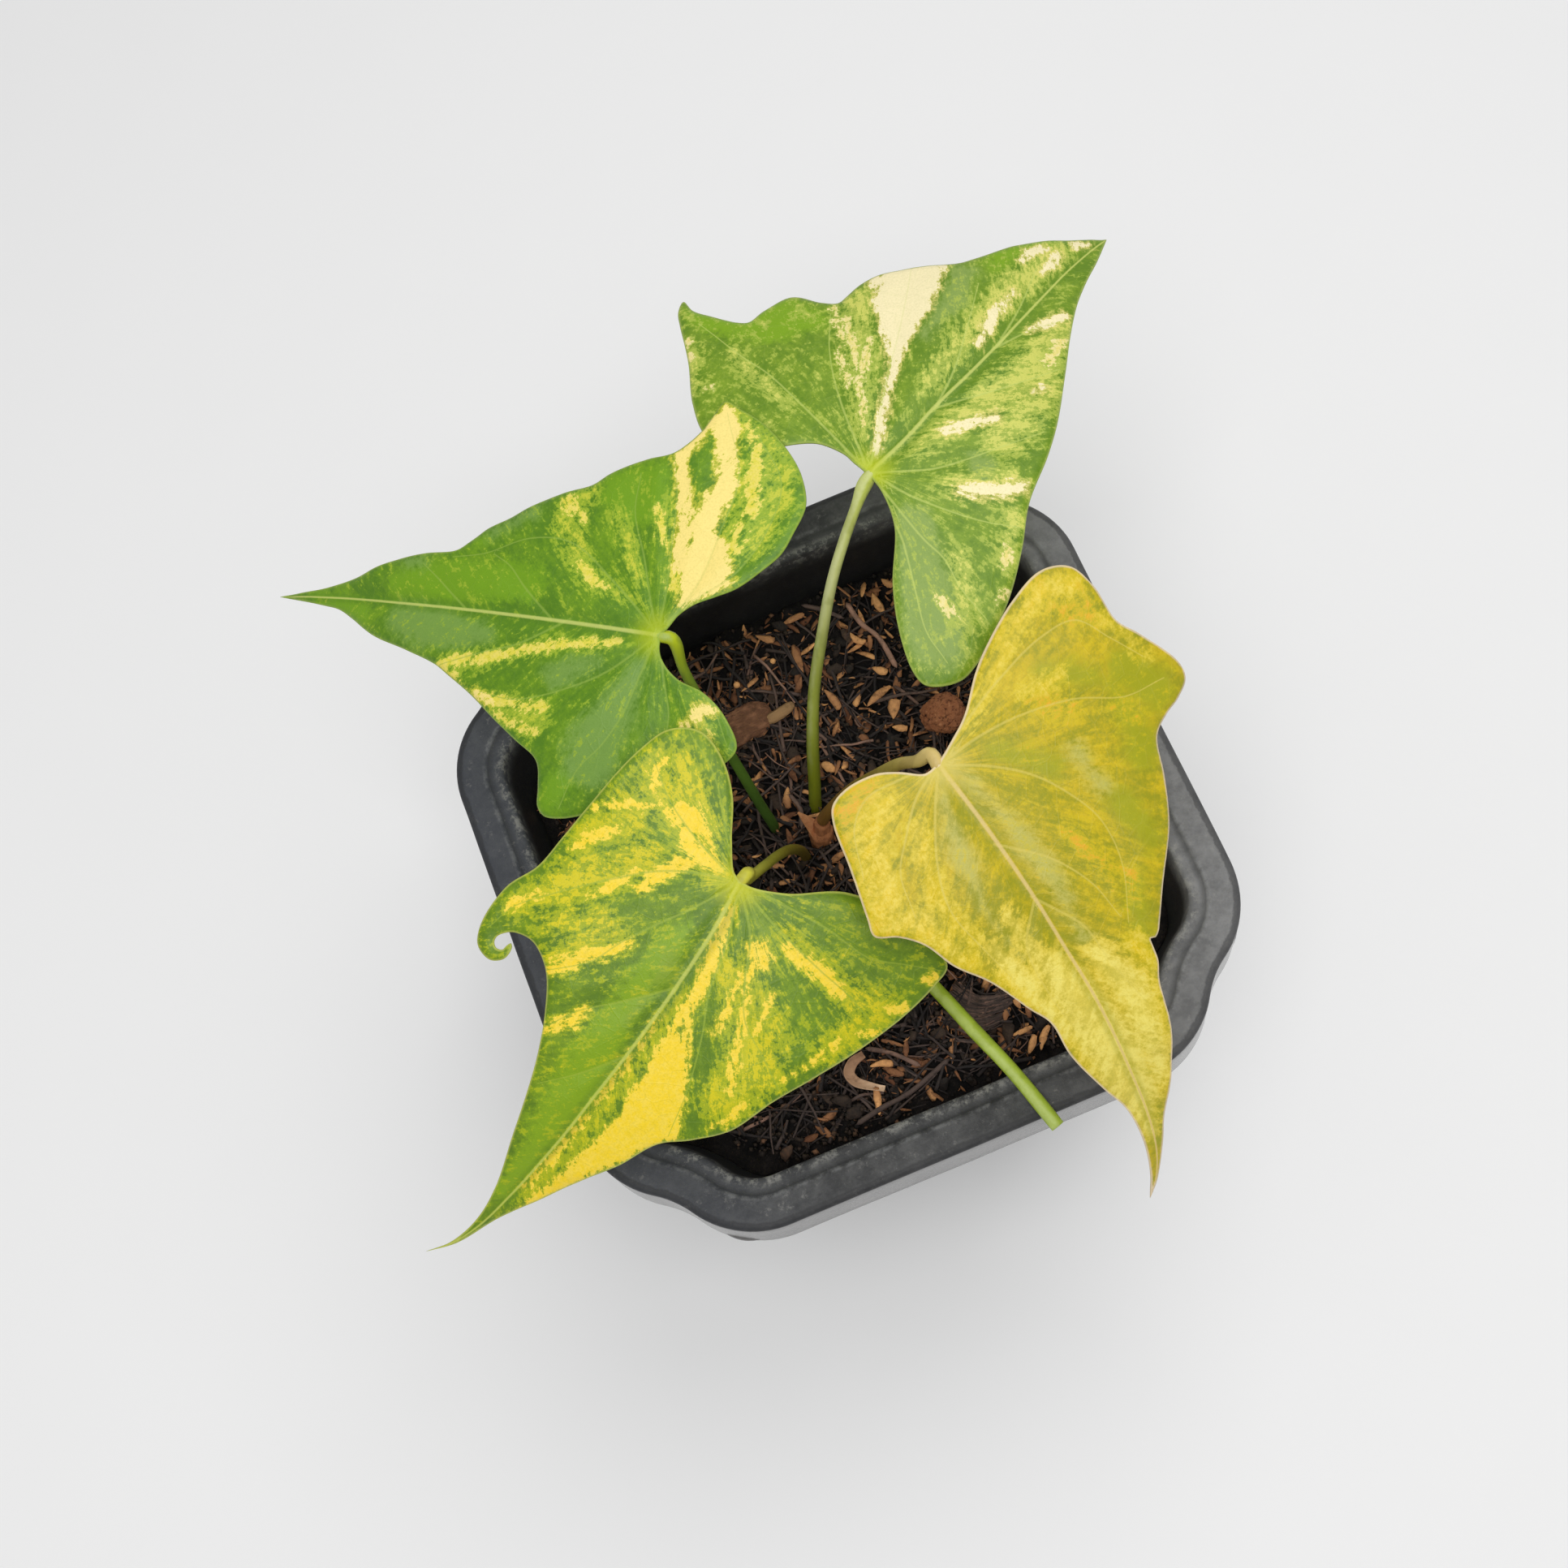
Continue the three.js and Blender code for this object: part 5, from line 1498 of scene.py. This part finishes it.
def stroke_depth(strokes, flat):
    """How deep each point lies inside the painted strokes, below 0 outside them."""
    depth = np.full(len(flat), float(UNPAINTED))
    for stroke in strokes:
        stroke = np.array(stroke, float)
        for start, end in zip(stroke, stroke[1:]):
            span = end[:2] - start[:2]
            share = np.clip(((flat - start[:2]) @ span) / max(span @ span, 1e-6), 0, 1)
            nearest = start[:2] + share[:, None] * span
            width = start[2] + (end[2] - start[2]) * share
            depth = np.maximum(depth, width - np.linalg.norm(flat - nearest, axis=1))
    return depth


def streak_place(flat, rib):
    """Coordinates across and along the side veins: slanted beside the midrib, fanned round the notch."""
    x = flat[:, 0]
    y = np.abs(flat[:, 1] - rib)
    root = x - y / math.tan(VEIN_ANGLE)
    turned = np.arctan2(y, x) - VEIN_ANGLE
    across = np.where(root > 0, root * math.sin(VEIN_ANGLE), -turned * FAN_WIDTH)
    along = np.hypot(x - np.maximum(root, 0), y)
    side = np.where(flat[:, 1] > rib, 40.0, 0.0)  # so that the two sides differ
    return np.column_stack([across, along, side])


def leaf_finish(name, blade):
    """A variegated leaf: greens and flecks along the side veins, painted yellow and cream areas, ribs,
    a painted sheen in the greyish areas and painted shade beside the midrib.
    """
    palette = {key: paint(rgb, LEAF_GLOSS) for key, rgb in blade["palette"].items()}
    speckle, soft, blur = blade["speckle"], blade["soft"], blade["blur"]
    halo = speckle - 0.07
    finish = Finish(name)
    place, streak = [finish.attribute(field, "Vector") for field in ("leaf_place", "streak_place")]
    cream, yellow, fleck, vivid, grey = [finish.attribute(field) for field in PAINTS]
    fields = ("vein", "vein_far", "rib", "notch", "edge", "under")
    vein, vein_far, rib, notch, edge, under = [finish.attribute(field) for field in fields]
    bands = finish.noise(streak, (2.4, 10, 1), 3, 0.6)
    strokes = finish.noise(streak, (0.9, 3, 1), 5, 0.7, shift=5)
    mottle = finish.noise(place, (1.2, 1.2, 1), 6, 0.75, shift=8)
    clouds = finish.noise(place, (12, 12, 1), 4, 0.6, shift=2)
    grit = finish.noise(place, (0.4, 0.4, 1), 3, 0.7, shift=4)
    netted = finish.cells(place, (4.2, 4.2, 1)).falls(0.0, 0.05)

    ragged = (bands - 0.5) * 3 + (strokes - 0.5) * 4 + (mottle - 0.5) * 5
    drift = (clouds - 0.5) * 9 + (strokes - 0.5) * 7 + (mottle - 0.5) * 7
    tone = bands * 0.3 + clouds * 0.25 + strokes * 0.15 + mottle * 0.3
    spots = strokes * 0.4 + mottle * 0.4 + bands * 0.2 + fleck.rises(-3, 3) * 0.12
    yellow, cream = yellow + ragged * 1.25, cream + ragged * 1.1
    cover = 1 - (bands * 0.5 + mottle * 0.5).falls(0.42, 0.58) * blade["patchy"]
    golden = finish.mix(mottle.rises(0.4, 0.62) * 0.5, palette["warm"], palette["cream"])
    creamy = cream.rises(-soft * 0.75, soft) * cover
    rib = abs(rib)
    line = abs(vein).falls(0.25, 1.0) * vein_far.falls(0.8, 1.2)
    colour = finish.covered(finish.mix(tone.rises(0.41, 0.59), palette["dark"], palette["green"]), [
        ((vivid + drift).rises(-2, 2), palette["vivid"]),
        # Painted sheen: greyish areas where the leaf reflects the sky.
        ((grey + drift).rises(-2, 2) * 0.85, palette["grey"]),
        (spots.rises(halo, halo + blur) * 0.75, palette["pale"]),
        (spots.rises(speckle, speckle + blur) * 0.85, palette["fleck"]),
        (yellow.rises(-1.5, -0.2) * 0.7 * cover, palette["pale"]),
        (yellow.rises(-soft * 0.75, soft) * cover, golden),
        (cream.rises(-1.5, 0.1) * 0.7 * cover, palette["warm"]),
        (creamy, palette["cream"]),
        (grit.falls(0.3, 0.6) * 0.14, palette["dark"]),
        # Painted shade: darker green in the trough beside the midrib.
        (rib.rises(0.7, 1.3) * rib.falls(1.8, 5) * 0.4, palette["dark"]),
        (netted * 0.05, palette["vein"]),
        (line * (0.55 - creamy * 0.35), palette["vein"]),
        (rib.falls(0.3, 1.0) * 0.8, palette["rib"]),
        (notch.falls(1.2, 7) * 0.7, palette["notch"]),
        (edge.falls(0.1, 0.5) * 0.75, palette["edge"]),
        (under * 0.55, palette["under"]),
    ])
    roughness = 0.4 + grit * 0.12 + under * 0.18
    relief = grit * 0.45 + netted * 0.2 + mottle * 0.35
    return finish.surface(colour, roughness, relief, 0.12, {"Specular IOR Level": 0.42})


def bell(relief, distance):
    """A smooth bump of a height and half width, at a distance from its middle."""
    height, width = relief
    return height * np.exp(-((distance / width) ** 2))


def make_blade(name):
    """A leaf as a thin waved sheet with raised veins. The result is its frame."""
    blade = BLADES[name]
    outline = np.vstack([curve_through(blade[side], LEAF_GRID * 0.9)[:-1] for side in ("right", "left")])
    flat, triangles = filled(outline, LEAF_GRID, LEAF_GRID * 0.5)
    x, y = flat.T
    midrib = curve_through(blade["midrib"], 0.5)
    rib, rib_far, rib_share = nearest_on([midrib], flat)
    vein, vein_far, vein_share = nearest_on([curve_through(line, 0.4) for line in blade["veins"]], flat)
    _, edge, _ = nearest_on([np.vstack([outline, outline[:1]])], flat)
    near_edge = np.clip(edge / 5, 0, 1)
    tip_fade = np.clip((blade["length"] - x) / 25, 0, 1)
    ridge = bell(RIDGE, rib_far) * (1 - 0.7 * rib_share)
    z = leaf_height(blade, x, y) + ridge
    z += (PILLOW[0] - bell(PILLOW, np.minimum(vein_far, rib_far))) * near_edge
    z -= bell(GROOVE, vein_far) * (1 - 0.6 * vein_share) + bell(TROUGH, rib_far) * tip_fade
    z += 0.45 * np.exp(-edge / 3.5) * hills(flat, 6.5, 61) - bell(ROLL, edge)
    z += 0.5 * hills(flat, 16, 62) * (1 - near_edge * 0.5) + 0.05 * hills(flat, 2.1, 63)
    thickness = LEAF_THICKNESS * (0.5 + 0.5 * np.clip(edge / 1.5, 0, 1)) + ridge * 0.5
    thickness += bell(KEEL, rib_far) * (1 - rib_share) ** 0.7
    thickness += bell(CORD, vein_far) * (1 - 0.7 * vein_share) * near_edge
    upper = np.column_stack([flat, z + LEAF_THICKNESS / 2])
    points, faces = thickened(upper, upper - thickness[:, None] * (0, 0, 1), triangles)
    turn = Euler([math.radians(a) for a in (blade["roll"], -blade["pitch"], blade["heading"])], "XYZ")
    points = points @ np.array(turn.to_matrix()).T + blade["at"]
    fields = {key: stroke_depth(blade.get(key, []), flat) for key in PAINTS}
    for key in ("cream", "yellow"):
        fields[key] = np.minimum(fields[key], -stroke_depth(blade.get("islands", []), flat))
    fields["leaf_place"] = np.column_stack([flat, np.zeros(len(flat))])
    fields["streak_place"] = streak_place(flat, np.interp(x, midrib[:, 0], midrib[:, 1]))
    fields["vein"] = vein / ((0.42 - 0.26 * vein_share) * np.clip(tip_fade + 0.3, 0, 1))
    fields["rib"] = rib / (0.64 - 0.44 * rib_share)
    fields |= {"vein_far": vein_far, "notch": np.hypot(x, y), "edge": edge}
    fields = {field: np.concatenate([values, values]) for field, values in fields.items()}
    fields["under"] = np.repeat([0.0, 1.0], len(flat))
    leaf = name.replace("blade", "leaf")
    make_piece(leaf, points, faces, leaf_finish(leaf, blade), blade["slot"], [name], fields)
    return Matrix.Translation(blade["at"]) @ turn.to_matrix().to_4x4()


# Stalks and crown

def stalk_finish(name, stalk):
    """A stalk that changes colour along its length, with a pale stripe, a painted highlight, on the side that
    faces up and to the left, and painted shade on the side away from it.
    """
    finish = Finish(name)
    place = finish.place()
    facing = finish.attribute("facing")
    flecks = finish.noise(place, (0.0008, 0.0008, 0.0035), 3, 0.65)
    clouds = finish.noise(place, (0.003, 0.003, 0.009), 2, 0.5, shift=3)
    deep = paint([c * 0.78 for c in stalk["colours"][1]], STALK_GLOSS)
    painted_highlight = (facing + (clouds - 0.5) * 0.5).rises(0.6, 0.98) * (0.2 + flecks * 0.5)
    colour = finish.covered(finish.ramp(finish.attribute("along"), stalk["colours"], STALK_GLOSS), [
        # Painted shade: the side away from the light is darker.
        (facing.falls(-0.3, 0.65) * 0.4, deep),
        (clouds.falls(0.35, 0.5) * 0.25, deep),
        # Painted highlight: the pale stripe on the side that faces the light.
        (painted_highlight, paint(stalk["stripe"], STALK_GLOSS)),
    ])
    return finish.surface(colour, 0.42 + flecks * 0.12, flecks, 0.12, {"Specular IOR Level": 0.4})


def make_stalk(name, frames):
    """A stalk from under the mix to its blade's notch, swollen below it."""
    stalk = STALKS[name]
    points = list(stalk["points"])
    if points[0][2] <= MIX_TOP + 2:
        points.insert(0, (points[0][0], points[0][1], points[0][2] - STALK_DEPTH))
    if stalk["blade"]:
        for place in STALK_JOIN:
            points.append(tuple(frames[stalk["blade"]] @ Vector(place)))
    path = curve_through(points, 1.2)
    foot, top = stalk["radii"]
    radii = foot + (top - foot) * np.linspace(0, 1, len(path))
    radii = radii * (1 + 0.03 * hills(path, 9, 71))
    if stalk["blade"]:
        from_top = np.linalg.norm(path - path[-1], axis=1)
        radii = radii * (1 + (stalk["swell"] - 1) * np.exp(-(((from_top - 4.5) / 3) ** 2)))
        radii = radii * np.clip(0.35 + from_top / 3, 0, 1)
    shape, faces, along = tube(path, radii, STALK_SIDES, 0.03)
    outwards = (shape[1:-1].reshape(len(path), STALK_SIDES, 3) - path[:, None]).reshape(-1, 3)
    facing = outwards @ LIT_SIDE / np.linalg.norm(outwards, axis=1)
    fields = {"along": along, "facing": np.concatenate([[0], facing, [0]])}
    petiole = name.replace("stalk", "petiole")
    make_piece(petiole, shape, faces, stalk_finish(petiole, stalk), stalk["slot"], [name], fields)


def make_crown():
    """The wrinkled stem, the socket of the right stalk and the sheath beside it."""
    heap = Heap()
    for points, foot, top in ((CROWN_STEM, 3.1, 2.7), (CROWN_SOCKET, 2.15, 1.75)):
        path = curve_through(points, 0.5)
        radii = np.linspace(foot, top, len(path))
        radii[-3:] *= (0.9, 0.7, 0.45)
        shape, faces, _ = tube(path, radii, 40, 0.04)
        wrinkles = hills(shape * (1, 1, 0.35), 1.1, 81) * 0.3 + hills(shape, 0.6, 82) * 0.1
        outwards = (shape - points[0]) * (1, 1, 0)
        outwards /= np.maximum(np.linalg.norm(outwards, axis=1), 0.3)[:, None]
        heap.add(shape + outwards * wrinkles[:, None], faces, 0.35)
    shape, faces = papery_sheath()
    heap.add(shape, faces, 0.7)
    finish = scrap_finish("dry_sheath", (140, 80, 48), (244, 190, 138), (0.0007, 0.0007, 0.004), depth=0.3)
    heap.piece("crown_and_sheath", finish, "crown_skin", ["crown"])


def papery_sheath():
    """A dry scale that curls round the stem and stands out from it."""
    path = curve_through(SHEATH, 0.35)
    across = 16
    toward = np.array([-0.6, 0.72, 0.2])
    side = np.cross(toward, (0, 0, 1))
    side /= np.linalg.norm(side)
    middle = []
    for share, place in zip(np.linspace(0, 1, len(path)), path):
        wide = 2.6 * (1 - share**2.5) + 0.5
        curl = 2.5 - 1.1 * share
        for angle in np.linspace(-curl / 2, curl / 2, across):
            ring = side * math.sin(angle) * wide * 0.8 - toward * (1 - math.cos(angle)) * wide * 0.7
            middle.append(place + ring)
    half = toward * SHEATH_THICKNESS / 2
    return thickened(np.array(middle) + half, np.array(middle) - half, sheet_triangles(len(path), across))


# Surroundings

def make_floor():
    """A pale plain floor."""
    finish = Finish("pale_table")
    grain = finish.noise(finish.place(), 0.03, 3, 0.5)
    colour = finish.mix(grain * 0.3, paint((246, 246, 246)), paint((242, 242, 242)))
    mesh = bpy.data.meshes.new("floor")
    corners = [(x * FLOOR_REACH, y * FLOOR_REACH, 0) for x, y in ((-1, -1), (1, -1), (1, 1), (-1, 1))]
    mesh.from_pydata(corners, [], [(0, 1, 2, 3)])
    mesh.materials.append(finish.surface(colour, 0.75))
    placed("floor", mesh)


def light_scene():
    """A soft white surrounding and two round softboxes."""
    world = bpy.data.worlds.new("studio")
    world.use_nodes = True
    sky = world.node_tree.nodes["Background"]
    sky.inputs["Color"].default_value = (1, 1, 1, 1)
    sky.inputs["Strength"].default_value = SKY_STRENGTH
    bpy.context.scene.world = world
    for name, (at, size, power) in SOFTBOXES.items():
        light = bpy.data.lights.new(name, "AREA")
        light.shape = "DISK"
        light.size = size
        light.energy = power
        lamp = placed(name, light)
        lamp.location = at
        lamp.rotation_euler = (Vector(LIT_POINT) - Vector(at)).to_track_quat("-Z", "Y").to_euler()
    bpy.context.scene.view_settings.view_transform = "Standard"


def set_camera():
    """The photo's view from above the front of the pot."""
    camera = bpy.data.cameras.new("camera")
    camera.sensor_width = camera.sensor_height = 36
    camera.lens = CAMERA_LENS
    camera.clip_start = 0.01
    view = placed("camera", camera)
    turn = Euler([math.radians(a) for a in CAMERA_TURN])
    view.matrix_world = Matrix.Translation(CAMERA_AT) @ turn.to_matrix().to_4x4()
    bpy.context.scene.camera = view


set_camera()
light_scene()
make_floor()
make_pot()
make_bed()
make_husks()
make_fibres()
make_bark_bits()
make_crumbs()
make_clay_pellet()
make_bark_chip()
make_wood_curl()
blade_frames = {blade_name: make_blade(blade_name) for blade_name in BLADES}
for stalk_name in STALKS:
    make_stalk(stalk_name, blade_frames)
make_crown()
